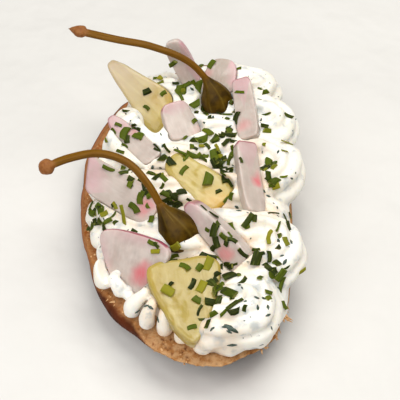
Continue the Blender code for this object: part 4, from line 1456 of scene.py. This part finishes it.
# The pieces of chive that lie apart from the rest, as they were thrown: the x and y that each one
# was aimed at on the bread's top plane, its length and width, its heading in degrees and its tone, partly its
# own colour and partly painted light and shade.
LOOSE_CHIVES = (
    # over the front fruit
    (0.0, -26.5, 3.4, 1.6, 130, M), (4.0, -26.5, 2.0, 1.9, 60, M), (6.7, -25.3, 4.2, 2.4, 80, B),
    (6.7, -22.5, 5.0, 1.6, 150, D), (-3.8, -32.6, 1.5, 1.2, 60, D), (1.7, -32.3, 3.4, 1.5, 60, D),
    (4.7, -33.3, 3.8, 2.4, 70, B), (-4.5, -35.0, 3.4, 2.7, 150, B), (3.3, -37.6, 2.3, 1.9, 150, M),
    (7.4, -39.0, 3.4, 2.2, 10, D), (4.3, -42.0, 3.9, 0.8, 85, D), (4.6, -44.6, 1.8, 0.8, 0, D),
    (2.0, -47.2, 2.6, 1.4, 20, M), (6.4, -46.3, 3.0, 1.6, 65, D), (8.0, -42.5, 2.2, 1.6, 50, M),
    (-2.9, -22.6, 2.8, 1.2, 30, M), (-4.6, -24.2, 4.6, 0.5, 15, D),
    # between the front fruit and the right edge
    (12.0, -25.2, 2.2, 1.2, 20, D), (10.4, -26.6, 2.4, 1.0, 100, D), (13.6, -25.6, 3.0, 0.7, 20, D),
    (8.8, -29.2, 1.9, 1.5, 30, D), (12.5, -30.0, 3.9, 3.0, 30, D), (16.3, -31.6, 3.2, 1.2, 50, D),
    (9.3, -34.5, 5.0, 2.8, 30, M), (12.6, -36.2, 4.6, 2.9, 140, D), (15.0, -38.4, 2.4, 1.8, 40, D),
    (9.4, -37.8, 3.0, 1.4, 60, D), (13.2, -40.0, 4.0, 1.4, 20, D), (11.0, -42.4, 3.0, 1.0, 60, M),
    (16.6, -40.6, 2.0, 1.2, 100, D),
    # on the radish in the middle and around it
    (8.9, -12.6, 4.0, 2.4, 60, D), (11.4, -15.2, 2.6, 1.6, 120, M), (9.2, -17.4, 3.4, 2.0, 70, D),
    (13.0, -14.4, 2.0, 0.8, 130, M), (13.5, -16.8, 3.0, 1.2, 150, D), (16.6, -21.2, 3.6, 1.4, 120, D),
    (5.6, -4.3, 2.6, 0.9, 130, D), (8.3, -7.0, 3.4, 1.1, 140, D), (18.4, -9.2, 5.4, 1.8, 60, D),
    (20.4, -8.4, 2.4, 1.4, 100, D), (12.0, -0.8, 2.8, 1.2, 60, M), (17.6, -11.4, 1.8, 1.6, 30, M),
    # the right edge
    (25.8, -6.5, 3.8, 0.9, 12, D), (28.9, -7.2, 4.4, 0.9, 100, D), (30.2, -11.2, 3.6, 1.0, 95, D),
    (27.3, -11.3, 3.6, 1.0, 88, M), (24.9, -15.4, 7.0, 1.2, 86, B), (28.9, -17.1, 2.8, 1.6, 120, B),
    (20.4, -19.9, 2.6, 0.9, 10, D), (20.5, -23.2, 4.2, 2.8, 75, D), (21.6, -21.6, 2.4, 1.4, 20, D),
    (24.0, -22.6, 3.4, 1.5, 95, D), (26.0, -25.0, 3.0, 1.8, 120, D), (24.2, -27.0, 5.4, 1.5, 130, D),
    (26.6, -29.0, 4.0, 2.4, 80, M), (27.0, -32.2, 4.4, 1.6, 95, M), (28.6, -26.4, 2.6, 0.6, 40, D),
    (33.0, -28.0, 2.8, 1.2, 85, B), (34.6, -18.6, 1.6, 0.5, 20, D),
    # left of the near berry
    (-18.4, -8.3, 8.6, 1.5, 68, B), (-15.3, -4.3, 4.0, 1.9, 118, M), (-21.0, -2.8, 2.4, 1.2, 95, B),
    (-25.8, -4.6, 3.8, 1.9, 110, M), (-24.0, -6.2, 2.4, 1.8, 20, B), (-22.6, -9.4, 3.8, 1.9, 10, M),
    (-27.0, -11.6, 2.4, 1.5, 30, D), (-28.2, -12.2, 1.6, 1.2, 80, D), (-25.6, -10.6, 1.6, 1.2, 10, D),
    (-23.5, -11.8, 2.2, 1.8, 60, D), (-20.6, -9.6, 1.6, 1.2, 60, D), (-14.9, -13.4, 1.9, 1.3, 150, D),
    (-10.3, -8.6, 2.2, 1.8, 60, M), (-9.3, -17.5, 3.2, 1.3, 150, M), (-8.2, -18.6, 2.2, 1.1, 100, D),
    (-8.4, -20.7, 2.8, 1.4, 10, B), (-2.5, -18.8, 3.0, 2.2, 40, B), (-4.2, -19.6, 2.2, 1.6, 100, M),
    # on the left radish and under the near stem
    (-23.2, 12.2, 4.4, 1.2, 145, M), (-19.0, 10.2, 3.0, 1.2, 10, D), (-16.4, 5.8, 2.6, 0.8, 120, D),
    (-14.2, 7.6, 3.6, 2.4, 40, D), (-13.0, 6.0, 3.0, 1.8, 120, D), (-11.8, 3.8, 3.4, 2.0, 60, D),
    (-13.3, -0.3, 3.8, 2.0, 70, M), (-10.6, 1.2, 3.4, 2.2, 110, M), (-10.4, 9.6, 3.0, 1.3, 150, D),
    (-8.2, 9.4, 2.4, 1.2, 20, B), (-6.7, 7.8, 2.8, 1.5, 130, M), (-7.1, 5.0, 2.0, 1.0, 40, D),
    (-8.8, -1.2, 3.0, 1.6, 130, D), (-20.2, 19.3, 3.0, 1.1, 150, D),
    # behind the near berry's neck
    (-5.6, -0.6, 3.0, 1.8, 60, D), (-4.2, -1.8, 3.0, 2.0, 130, D), (-3.4, 0.6, 2.6, 1.7, 20, D),
    (-2.4, -1.6, 2.6, 1.6, 80, D), (-5.0, 2.0, 2.2, 1.4, 120, D), (-1.8, -3.0, 2.0, 1.4, 40, D),
    (0.9, -1.2, 1.7, 1.2, 100, D),
    # on the middle fruit
    (-6.2, 20.8, 3.4, 0.9, 130, D), (-9.0, 20.5, 2.4, 0.8, 140, D), (-7.0, 16.4, 3.4, 2.2, 65, D),
    (-5.0, 14.4, 2.8, 2.3, 130, D), (-1.8, 18.6, 4.4, 1.8, 150, M), (2.0, 17.6, 4.4, 2.0, 165, M),
    (5.4, 16.0, 3.4, 1.2, 150, D), (-0.4, 11.3, 3.6, 1.4, 60, M), (6.7, 7.3, 4.0, 3.0, 80, M),
    (9.6, 2.7, 2.0, 1.2, 30, D), (8.4, 17.0, 4.6, 2.3, 85, M), (8.8, 14.2, 3.2, 2.0, 110, D),
    (13.8, 6.0, 2.6, 2.0, 20, D), (11.8, 10.4, 3.0, 2.0, 150, D), (2.4, 20.6, 2.6, 1.1, 150, D),
    # on the right radish and the lobe beside it
    (17.0, 15.6, 2.0, 0.9, 100, D), (25.5, 14.6, 3.4, 2.2, 70, M), (24.2, 12.4, 3.0, 1.9, 40, D),
    (26.8, 13.4, 2.4, 1.6, 120, M), (25.0, 9.2, 3.0, 1.8, 100, D), (26.6, 6.4, 3.6, 3.0, 60, M),
    (27.2, 4.6, 2.6, 2.0, 20, B), (25.2, 7.2, 2.6, 1.6, 140, D), (31.4, 23.2, 4.2, 1.1, 28, B),
    # the back
    (13.6, 27.0, 3.6, 1.7, 170, D), (16.0, 34.5, 4.2, 1.8, 62, D), (25.7, 36.3, 3.4, 1.0, 0, D),
    (25.0, 30.7, 2.6, 1.3, 160, D), (33.0, 35.4, 3.2, 1.3, 150, D), (25.5, 46.7, 2.0, 1.6, 20, M),
    (17.3, 46.7, 3.2, 1.1, 165, M), (17.4, 58.0, 2.0, 1.0, 20, M), (16.6, 63.4, 3.0, 2.0, 30, M),
    (8.4, 60.0, 3.2, 2.0, 50, M), (-3.3, 66.0, 2.4, 1.9, 30, M), (-4.8, 61.0, 2.6, 1.6, 80, M),
    (-13.3, 46.7, 2.6, 2.0, 20, D), (-12.8, 39.0, 2.2, 1.3, 140, M), (-10.0, 53.0, 2.6, 1.4, 10, M),
    (-3.0, 48.0, 3.2, 2.2, 70, M), (-3.6, 50.4, 2.2, 1.6, 20, D), (4.0, 49.4, 3.8, 2.4, 70, M),
    (2.8, 40.6, 3.2, 2.4, 40, M), (-7.6, 45.8, 2.2, 1.4, 50, M), (2.5, 32.8, 2.0, 1.4, 60, M),
    (6.7, 27.5, 4.0, 2.2, 140, M), (4.8, 24.6, 3.6, 2.4, 30, M), (8.8, 25.2, 3.0, 1.8, 60, D),
    (9.6, 23.4, 3.4, 2.0, 120, D), (12.4, 23.4, 3.4, 1.8, 60, D), (2.4, 24.4, 2.4, 1.6, 10, D),
    # on the left radish at the back
    (-21.5, 31.0, 2.4, 1.3, 0, M), (-16.7, 31.4, 1.6, 0.9, 50, D), (-15.2, 29.4, 2.2, 1.3, 20, D),
    (-19.2, 27.0, 4.0, 2.6, 60, M), (-18.3, 24.4, 2.6, 1.9, 80, D), (-14.2, 25.6, 2.2, 1.6, 50, M),
    (-9.0, 21.2, 2.8, 0.9, 140, D),
)


@dataclass(frozen=True)
class Heap:
    """Chives that fell close together: the spot aimed at, its spread, how many and their mean tone, partly
    their own colour and partly painted light and shade.
    """

    x: float
    y: float
    spread_x: float
    spread_y: float
    count: int
    tone: Tone


HEAPS = (
    Heap(11.4, 13.2, 1.8, 4.4, 17, Tone.DARK),
    Heap(8.4, 17.2, 2.2, 2.0, 6, Tone.MIDDLE),
    Heap(2.6, 16.6, 3.4, 0.9, 6, Tone.MIDDLE),
    Heap(9.4, 37.0, 4.2, 1.4, 11, Tone.DARK),
    Heap(13.6, 27.4, 1.6, 1.6, 5, Tone.DARK),
    Heap(-3.9, -0.8, 1.8, 1.8, 9, Tone.DARK),
    Heap(-12.4, 5.6, 2.2, 3.4, 11, Tone.DARK),
    Heap(-9.8, 1.2, 1.6, 2.8, 7, Tone.MIDDLE),
    Heap(-25.0, -7.2, 2.4, 2.0, 8, Tone.DARK),
    Heap(11.4, -32.0, 2.2, 5.0, 11, Tone.DARK),
    Heap(26.0, -27.0, 1.8, 3.6, 6, Tone.DARK),
    Heap(26.0, 9.0, 1.4, 4.0, 7, Tone.MIDDLE),
    Heap(9.4, -15.0, 1.6, 3.0, 5, Tone.DARK),
    Heap(-2.0, 49.0, 3.4, 2.6, 7, Tone.MIDDLE),
    Heap(-17.6, 26.4, 2.4, 2.4, 6, Tone.MIDDLE),
    Heap(7.0, 23.4, 3.2, 1.4, 4, Tone.MIDDLE),
)


class Landing(NamedTuple):
    """Where a thing comes to lie: the surface point, its normal and the number of the target."""

    spot: Vector
    normal: Vector
    target: int


@dataclass
class Sprinkler:
    """Throws things at the sandwich and finds where and how they come to lie.

    The hand stands in front of the sandwich and above it. Each thing flies straight from the hand to
    the point it was aimed at on the bread's top plane and stops at the first surface in its way.
    """

    targets: Sequence[Piece]
    hand: tuple[float, float, float] = (4.3, -227.1, 251.2)
    drop_height: float = 60.0
    trees: list = field(default_factory=list)

    def __post_init__(self) -> None:
        """Makes one search tree for each surface."""
        graph = bpy.context.evaluated_depsgraph_get()
        self.trees = [BVHTree.FromObject(target, graph) for target in self.targets]

    def hit(self, start: Vector, way: Vector) -> Landing | None:
        """Returns the first surface point on a way, its normal turned towards the start."""
        best = None
        for number, tree in enumerate(self.trees):
            spot, normal, _, distance = tree.ray_cast(start, way)
            if spot is not None and (best is None or distance < best[0]):
                best = (distance, spot, normal, number)
        if best is None:
            return None
        _, spot, normal, number = best
        return Landing(spot, normal if normal.dot(way) < 0.0 else -normal, number)

    def thrown(self, x: float, y: float) -> Landing | None:
        """Returns where a thing thrown from the hand at (x, y) lands."""
        start = Vector((np.array(self.hand) + SLICE_ORIGIN) * MM)
        aim = Vector((np.array([x, y, 0.0]) + SLICE_ORIGIN) * MM)
        return self.hit(start, (aim - start).normalized())

    def dropped(self, x: float, y: float) -> Landing | None:
        """Returns where a thing dropped from above (x, y) lands."""
        start = Vector((np.array([x, y, self.drop_height]) + SLICE_ORIGIN) * MM)
        return self.hit(start, Vector((0.0, 0.0, -1.0)))

    @staticmethod
    def pose(spot: Vector, normal: Vector, heading: float, lift: float,
             tilt: tuple[float, float]) -> np.ndarray:
        """Returns the matrix of a thing that lies on a surface.

        Its Z is the surface's normal and its X is the heading laid into the surface.

        Args:
            spot: Surface point in metres.
            normal: The surface's normal.
            heading: Degrees from +X towards +Y.
            lift: Height of its middle over the surface in millimetres.
            tilt: How far it leans about its own X and Y, in degrees.
        """
        ahead = Vector((math.cos(math.radians(heading)), math.sin(math.radians(heading)), 0.0))
        along = ahead - normal * ahead.dot(normal)
        if along.length < 0.2:
            along = normal.orthogonal()
        along.normalize()
        across = normal.cross(along)
        basis = Matrix((along, across, normal)).transposed()
        basis = basis @ Euler((math.radians(tilt[0]), math.radians(tilt[1]), 0.0)).to_matrix()
        made = basis.to_4x4()
        made.translation = Vector(np.array(spot) / MM - SLICE_ORIGIN) + normal * lift
        return np.array(made)


@dataclass
class ChoppedChives:
    """Chopped chives: short hollow tubes, squashed by the knife and cut at a slant."""

    sprinkler: Sprinkler
    seed: int = 4
    sides: int = 12
    rings: int = 4
    wall: float = 0.28
    list_scale: float = 0.93  # a listed piece's size over the size that the list gives
    loose_count: int = 70
    loose_x: tuple = (-24, 32)  # between which the scattered ones fall
    loose_y: tuple = (-50, 48)
    bare_front: float = -45.0  # where x plus y is under this, on the finger row, nothing is scattered

    def template(self) -> Surface:
        """Returns a tube of length and radius one: its outer wall, rim, inner wall and rim again.

        values holds x along it, the angle and whether a point is on the inner wall.
        """
        angle = even_angles(self.sides)
        x = np.linspace(-0.5, 0.5, self.rings)
        stations = np.concatenate([x, x[::-1]])
        inner = np.concatenate([np.zeros(self.rings), np.ones(self.rings)])
        count = len(stations)
        grid_x = np.repeat(stations, self.sides)
        grid_angle = np.tile(angle, count)
        row = (np.arange(count) * self.sides)[:, None]
        next_row = (np.roll(np.arange(count), -1) * self.sides)[:, None]
        side = np.arange(self.sides)
        after = (side + 1) % self.sides
        quads = np.stack([row + side, row + after, next_row + after, next_row + side], axis=2)[:, :, ::-1]
        made = Surface(
            np.column_stack([grid_x, np.cos(grid_angle), np.sin(grid_angle)]),
            quads.reshape(-1, 4), NO_TRIANGLES,
        )
        made.values = {"inner": np.repeat(inner, self.sides), "angle": grid_angle}
        return made

    def throws(self, draw: np.random.Generator) -> list[tuple]:
        """Returns every throw: aim x and y, length, width, heading, tone (partly painted light and shade) and
        whether it is dropped.
        """
        throws = [
            (x + draw.normal(0, 0.15), y + draw.normal(0, 0.15), self.list_scale * length,
             self.list_scale * width, heading + draw.normal(0, 8), tone.value, False)
            for x, y, length, width, heading, tone in LOOSE_CHIVES
        ]
        for heap in HEAPS:
            throws += [
                (draw.normal(heap.x, heap.spread_x), draw.normal(heap.y, heap.spread_y),
                 draw.uniform(1.2, 3.0), draw.uniform(0.9, 1.9), draw.uniform(0, 180),
                 heap.tone.value + draw.normal(0, 0.18), False)
                for _ in range(heap.count)
            ]
        throws += [
            (draw.uniform(*self.loose_x), draw.uniform(*self.loose_y), draw.uniform(1.0, 2.6),
             draw.uniform(0.8, 1.8), draw.uniform(0, 180), draw.uniform(0.05, 0.8), True)
            for _ in range(self.loose_count)
        ]
        return throws

    def build(self, material: Material, cream_number: int, blocked: set[int]) -> Piece:
        """Makes all the chives as one piece.

        Args:
            material: Their finish.
            cream_number: The cream's number among the targets: it alone holds the scattered ones.
            blocked: Numbers of the targets that nothing stays on, such as the stems.
        """
        draw = np.random.default_rng(self.seed)
        template = self.template()
        matrices, sizes = [], []
        for x, y, length, width, heading, tone, is_dropped in self.throws(draw):
            landed = self.sprinkler.dropped(x, y) if is_dropped else self.sprinkler.thrown(x, y)
            tilts = (draw.normal(0, 9), draw.normal(0, 9))
            squash = draw.uniform(0.22, 0.5)
            slants = (draw.normal(0, 0.35), draw.normal(0, 0.35))
            if landed is None or landed.target in blocked:
                continue
            is_bare = x + y < self.bare_front or landed.normal.z < 0.05 or landed.target != cream_number
            if is_dropped and is_bare:
                continue
            lift = width * squash * 0.45
            matrices.append(self.sprinkler.pose(landed.spot, landed.normal, heading, lift, tilts))
            sizes.append((length, width / 2.0, squash, *slants, draw.uniform(-0.12, 0.12), tone))
        size = np.array(sizes)[:, :, None]
        length, radius, squash, slant_y, slant_z, bend, tone = (size[:, k] for k in range(7))
        unit_x, cosine, sine = (column[None] for column in template.points.T)
        inner = template.values["inner"][None]
        thin = 1.0 - inner * np.minimum(self.wall / radius, 0.7)
        flat_thin = 1.0 - inner * np.minimum(self.wall / (radius * squash), 0.75)
        y = radius * thin * cosine
        z = radius * squash * flat_thin * sine
        x = unit_x * length + (y * slant_y + z * slant_z) * np.sign(unit_x)
        y = y + bend * length * (unit_x**2 * 4.0 - 1.0)
        local = np.stack([x, y, z], axis=2)
        matrix = np.array(matrices)
        points = placed_copies(local, matrix)
        made = repeated(template, points)
        copies = len(matrices)
        made.values = {
            # tone of each piece: partly its own colour, partly painted light and shade
            "tone": np.repeat(np.clip(tone[:, 0] + draw.normal(0, 0.07, copies), 0.0, 1.0), local.shape[1]),
            "inner": np.tile(template.values["inner"], copies),
            "local": (local + 11.0 * np.arange(copies)[:, None, None]).reshape(-1, 3) * MM,
        }
        piece = make_piece("chopped_chives", made, material)
        piece.data.set_sharp_from_angle(angle=math.radians(50.0))
        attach(piece, ROOT_BODY)
        log.info("%d chives", copies)
        return piece


@dataclass
class HerbFlecks:
    """Torn bits of herb in the cream's skin: thin, pointed leaves."""

    sprinkler: Sprinkler
    count: int = 230
    seed: int = 9
    aim_x: tuple = (-28, 38)  # between which they are thrown
    aim_y: tuple = (-60, 56)
    # Leaves smeared into the cream at the front: x and y aimed at, length and heading.
    smears: Sequence[tuple[float, float, float, float]] = (
        (12.4, -47.5, 3.6, -35.0),
        (13.6, -48.3, 2.6, -42.0),
        (11.2, -47.0, 2.2, 10.0),
        (12.2, -48.8, 1.8, -50.0),
        (20.2, -40.8, 2.2, -55.0),
        (22.9, -43.2, 1.8, 25.0),
        (21.7, -37.4, 2.0, -30.0),
        (12.9, -53.1, 2.8, -60.0),
        (28.4, -24.6, 2.4, 60.0),
        (-12.8, -42.0, 1.8, 20.0),
        (-9.3, -40.6, 2.0, -35.0),
    )

    def template(self) -> Surface:
        """Returns a thin lens: a ring of eight points, longer than wide, with a tip above and below."""
        angle = even_angles(8)
        cosine, sine = np.cos(angle), np.sin(angle)
        ring = np.column_stack([0.5 * cosine, 0.5 * sine * np.abs(sine), np.zeros(8)])
        rings = np.array([ring + (0.0, 0.0, -0.5), ring + (0.0, 0.0, 0.5)])
        return ring_surface(rings, on_axis(-0.7), on_axis(0.7))

    def build(self, material: Material, cream_number: int) -> Piece:
        """Makes all the flecks as one piece, on the cream alone.

        Args:
            material: Their finish.
            cream_number: The cream's number among the sprinkler's targets.
        """
        draw = np.random.default_rng(self.seed)
        matrices, sizes = [], []
        for number in range(self.count):
            x, y = draw.uniform(*self.aim_x), draw.uniform(*self.aim_y)
            landed = self.sprinkler.thrown(x, y) if number % 3 else self.sprinkler.dropped(x, y)
            heading, length = draw.uniform(0, 180), draw.uniform(0.6, 1.9)
            if landed is None or landed.target != cream_number:
                continue
            tilts = (draw.normal(0, 12), draw.normal(0, 12))
            matrices.append(self.sprinkler.pose(landed.spot, landed.normal, heading, 0.0, tilts))
            sizes.append((length, length * draw.uniform(0.25, 0.6), draw.uniform(0.1, 0.2)))
        for x, y, length, heading in self.smears:
            landed = self.sprinkler.thrown(x, y)
            if landed is not None and landed.target == cream_number:
                matrices.append(self.sprinkler.pose(landed.spot, landed.normal, heading, 0.0, (0.0, 0.0)))
                sizes.append((length, length * 0.4, 0.16))
        matrix, size = np.array(matrices), np.array(sizes)
        template = self.template()
        local = template.points[None] * size[:, None]
        points = placed_copies(local, matrix)
        piece = make_piece("herb_flecks", repeated(template, points), material)
        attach(piece, ROOT_BODY)
        return piece


@dataclass
class CrumbWhiskers:
    """Shreds and crumbs that stand out from the torn rim of the toast."""

    sprinkler: Sprinkler
    seed: int = 21
    # Where shreds stick out: angle round the rim in degrees, how many and their length.
    tufts: tuple = ((216.0, 7, 1.8), (222.0, 5, 1.3), (311.0, 6, 2.6), (319.0, 8, 3.0), (325.0, 6, 2.0),
                    (300.0, 5, 1.2), (245.0, 5, 0.9), (262.0, 5, 0.8), (30.0, 4, 1.2), (150.0, 5, 1.0))
    crumb_count: int = 100
    crumb_ring: tuple = (0.86, 0.985)  # shares of the outline between which crumbs fall
    lowest_crumb: float = -0.3  # none lies deeper than this, in an open pore

    def shred(self) -> Surface:
        """Returns a shred of length one along X: a tapered, bent strip of square section."""
        x = np.linspace(0.0, 1.0, 6)
        width = 0.26 * (1.0 - x) ** 0.7 + 0.03
        middle = np.column_stack([x, 0.12 * np.sin(3.0 * x), 0.1 * x**2])
        return sweep(middle, width, np.ones(6), (0.0, 0.0, 1.0), 0.3)

    def crumb(self) -> Surface:
        """Returns a lumpy crumb about one across."""
        tilts = np.radians(np.linspace(-65.0, 65.0, 5))
        line = np.column_stack([np.zeros(5), np.zeros(5), 0.5 * np.sin(tilts)])
        made = sweep(line, 0.5 * np.cos(tilts), np.ones(8), (1.0, 0.0, 0.0), 0.3)
        made.points *= 1.0 + 0.35 * value_noise(made.points * 3.0 + 5.0, 1.0, 3)[:, None]
        return made

    def build(self, bread: ToastedSlice, bread_number: int, material: Material) -> Piece:
        """Makes the shreds and crumbs as one piece.

        Args:
            bread: The slice, for its outline.
            bread_number: Its number among the sprinkler's targets.
            material: Their finish.
        """
        draw = np.random.default_rng(self.seed)
        shred, crumb = self.shred(), self.crumb()
        matrices, scales = [], []
        for centre, count, length in self.tufts:
            for _ in range(count):
                angle = math.radians(centre + draw.normal(0, 2.2))
                edge = bread.outline(np.array([angle]))[0]
                outward = edge / np.linalg.norm(edge)
                torn = bread.tear_depth * math.exp(-(((angle - bread.tear_angle) / bread.tear_width) ** 2))
                root = np.array([*(edge - outward * (1.2 + torn)), -draw.uniform(0.1, 1.4)])
                heading = math.atan2(outward[1], outward[0]) + draw.normal(0, 0.6)
                turn = Matrix.Rotation(heading, 3, "Z") @ Matrix.Rotation(-draw.uniform(-0.7, 0.6), 3, "Y")
                matrix = np.eye(4)
                matrix[:3, :3] = np.array(turn @ Matrix.Rotation(draw.uniform(0, 6.28), 3, "X"))
                matrix[:3, 3] = root
                matrices.append(matrix)
                stretch = length * draw.uniform(0.5, 1.3)
                scales.append((stretch, draw.uniform(0.7, 1.6), draw.uniform(0.7, 1.6)))
        matrix, scale = np.array(matrices), np.array(scales)
        local = shred.points[None] * scale[:, None]
        points = placed_copies(local, matrix)
        shreds = repeated(shred, points)
        matrices, scales = [], []
        for _ in range(self.crumb_count * 4):
            angle = draw.uniform(0, 2 * math.pi)
            x, y = bread.outline(np.array([angle]))[0] * draw.uniform(*self.crumb_ring)
            landed = self.sprinkler.dropped(x, y)
            heading, size = draw.uniform(0, 180), draw.uniform(0.25, 0.7)
            if landed is None or landed.target != bread_number or len(matrices) == self.crumb_count:
                continue
            if landed.spot.z < (SLICE_ORIGIN[2] + self.lowest_crumb) * MM:
                continue
            matrices.append(self.sprinkler.pose(landed.spot, landed.normal, heading, size * 0.2, (0.0, 0.0)))
            scales.append(size)
        matrix, scale = np.array(matrices), np.array(scales)
        local = crumb.points[None] * scale[:, None, None]
        points = placed_copies(local, matrix)
        piece = make_piece("toast_crumbs", joined([shreds, repeated(crumb, points)]), material)
        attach(piece, ROOT_BODY)
        return piece


# ---------------------------------------------------------------- studio


@dataclass(frozen=True)
class Softbox:
    """A soft square light that faces the sandwich.

    place is in millimetres of the slice's frame, size is the side of the square in millimetres and
    power is in watts.
    """

    name: str
    place: tuple[float, float, float]
    size: float
    power: float
    colour: str

    def build(self) -> None:
        """Hangs the light."""
        lamp = bpy.data.lights.new(self.name, "AREA")
        lamp.shape = "SQUARE"
        lamp.size = self.size * MM
        lamp.energy = self.power
        lamp.color = linear(self.colour)[:3]
        made = bpy.data.objects.new(self.name, lamp)
        bpy.context.scene.collection.objects.link(made)
        start = Vector((np.array(self.place) + SLICE_ORIGIN) * MM)
        made.location = start
        made.rotation_euler = (start - Vector(SLICE_ORIGIN * MM)).to_track_quat("Z", "Y").to_euler()


SOFTBOXES = (
    Softbox("key_softbox", (120.0, 90.0, 480.0), 380.0, 2.3, "#fffcf6"),
    Softbox("fill_softbox", (-170.0, -260.0, 380.0), 420.0, 1.75, "#fdfbfa"),
)


@dataclass(frozen=True)
class Studio:
    """The pale floor, the soft lights and the camera."""

    target: tuple[float, float, float] = (4.3, -0.9, 0.0)
    elevation: float = 48.0
    distance: float = 338.0
    focal_length: float = 102.06
    sensor_width: float = 36.0
    floor_half: float = 1500.0
    floor_level: float = -12.0
    sweep_start: float = 500.0  # the y at which the floor begins to rise
    sweep_height: float = 700.0
    floor_columns: int = 9
    floor_rows: int = 33
    floor_colour: str = "#d9d8d5"
    floor_grain: str = "#d6d5d2"
    surroundings: str = "#f2f2f0"
    surroundings_strength: float = 0.28

    def floor(self) -> None:
        """Makes the floor: a plane whose far side rises as a smooth sweep."""
        columns, rows = self.floor_columns, self.floor_rows
        across = np.linspace(-self.floor_half, self.floor_half, columns)
        back = np.linspace(-self.floor_half, self.floor_half, rows)
        rise = smooth_step(back, self.sweep_start, self.floor_half) * self.sweep_height + self.floor_level
        grid_x, grid_y = np.meshgrid(across, back)
        points = np.stack([grid_x, grid_y, np.broadcast_to(rise[:, None], grid_x.shape)], axis=2)
        points = points.reshape(-1, 3)
        corner = (np.arange(rows - 1)[:, None] * columns + np.arange(columns - 1)[None]).reshape(-1)
        quads = np.stack([corner, corner + 1, corner + columns + 1, corner + columns], axis=1)
        paper = plain_material("matte_backdrop_paper", self.floor_colour, 0.85, 60.0, self.floor_grain)
        floor = make_piece("studio_floor", Surface(points, quads, NO_TRIANGLES), paper)

    def camera(self) -> None:
        """Sets the camera in front of the sandwich and above it."""
        data = bpy.data.cameras.new("camera")
        data.lens = self.focal_length
        data.sensor_width = self.sensor_width
        data.clip_start = 0.01
        made = bpy.data.objects.new("camera", data)
        bpy.context.scene.collection.objects.link(made)
        tilt = math.radians(self.elevation)
        away = np.array([0.0, -math.cos(tilt), math.sin(tilt)]) * self.distance
        made.location = Vector((np.array(self.target) + away + SLICE_ORIGIN) * MM)
        made.rotation_euler = (math.radians(90.0 - self.elevation), 0.0, 0.0)
        bpy.context.scene.camera = made

    def build(self) -> None:
        """Makes floor, lights, surroundings and camera."""
        self.floor()
        for softbox in SOFTBOXES:
            softbox.build()
        world = bpy.data.worlds.new("studio_surroundings")
        world.use_nodes = True
        background = world.node_tree.nodes["Background"]
        background.inputs["Color"].default_value = linear(self.surroundings)
        background.inputs["Strength"].default_value = self.surroundings_strength
        bpy.context.scene.world = world
        bpy.context.scene.view_settings.view_transform = "Standard"
        self.camera()


# ---------------------------------------------------------------- main


# Name, colour, roughness, grain in millimetres and the colour of the grain.
# Dried dill: a dull blue-green frond, mottled.
DILL_FROND = ("dried_dill_frond", "#2c3f2e", 0.6, 0.8, "#4a5a52")
# Toasted crumb: dry and matte, paler where it broke.
TOASTED_CRUMB = ("toasted_crumb", "#c8955f", 0.9, 0.7, "#e0b684")


def main() -> None:
    """Builds the sandwich from the bread up and reports each piece."""
    logging.basicConfig(level=logging.INFO, format="%(name)s: %(message)s")
    Studio().build()

    bread = ToastedSlice()
    slice_piece = bread.build(ToastedBread().build())
    log.info("bread: %d faces", len(slice_piece.data.polygons))

    radish = RadishFlesh().build()
    fruit = FruitFlesh().build()
    toppings = [SlabShape(slab, look).build(radish, "radish") for slab, look in RADISHES]
    toppings += [SlabShape(slab, look, **FRUIT_SHAPE).build(fruit, "yellow_fruit") for slab, look in FRUITS]
    caper = CaperSkin().build()
    berries = [berry.build(caper) for berry in BERRIES]
    log.info("%d toppings and %d berries", len(toppings), len(berries))

    slabs = [slab for slab, _ in (*RADISHES, *FRUITS)]
    cutters = [cutter for topping in (*slabs, BERRIES[1]) for cutter in topping.cutters(PipedCream.gap)]
    # the toppings beside which warm bounce light is painted on the cream
    wet = [slab for slab in slabs if slab.name in JUICY]
    cream = PipedCream(bread).build(CreamCheese().build(), cutters, wet)
    log.info("cream: %d faces", len(cream.data.polygons))

    targets = [cream, slice_piece, *toppings, *berries]
    cream_number, bread_number = 0, 1
    berry_numbers = set(range(len(targets) - len(berries), len(targets)))
    sprinkler = Sprinkler(targets)
    ChoppedChives(sprinkler).build(ChiveLeaf().build(), cream_number, berry_numbers)
    HerbFlecks(sprinkler).build(plain_material(*DILL_FROND), cream_number)
    CrumbWhiskers(sprinkler).build(bread, bread_number, plain_material(*TOASTED_CRUMB))
    log.info("garnish done")


if __name__ == "__main__":
    main()
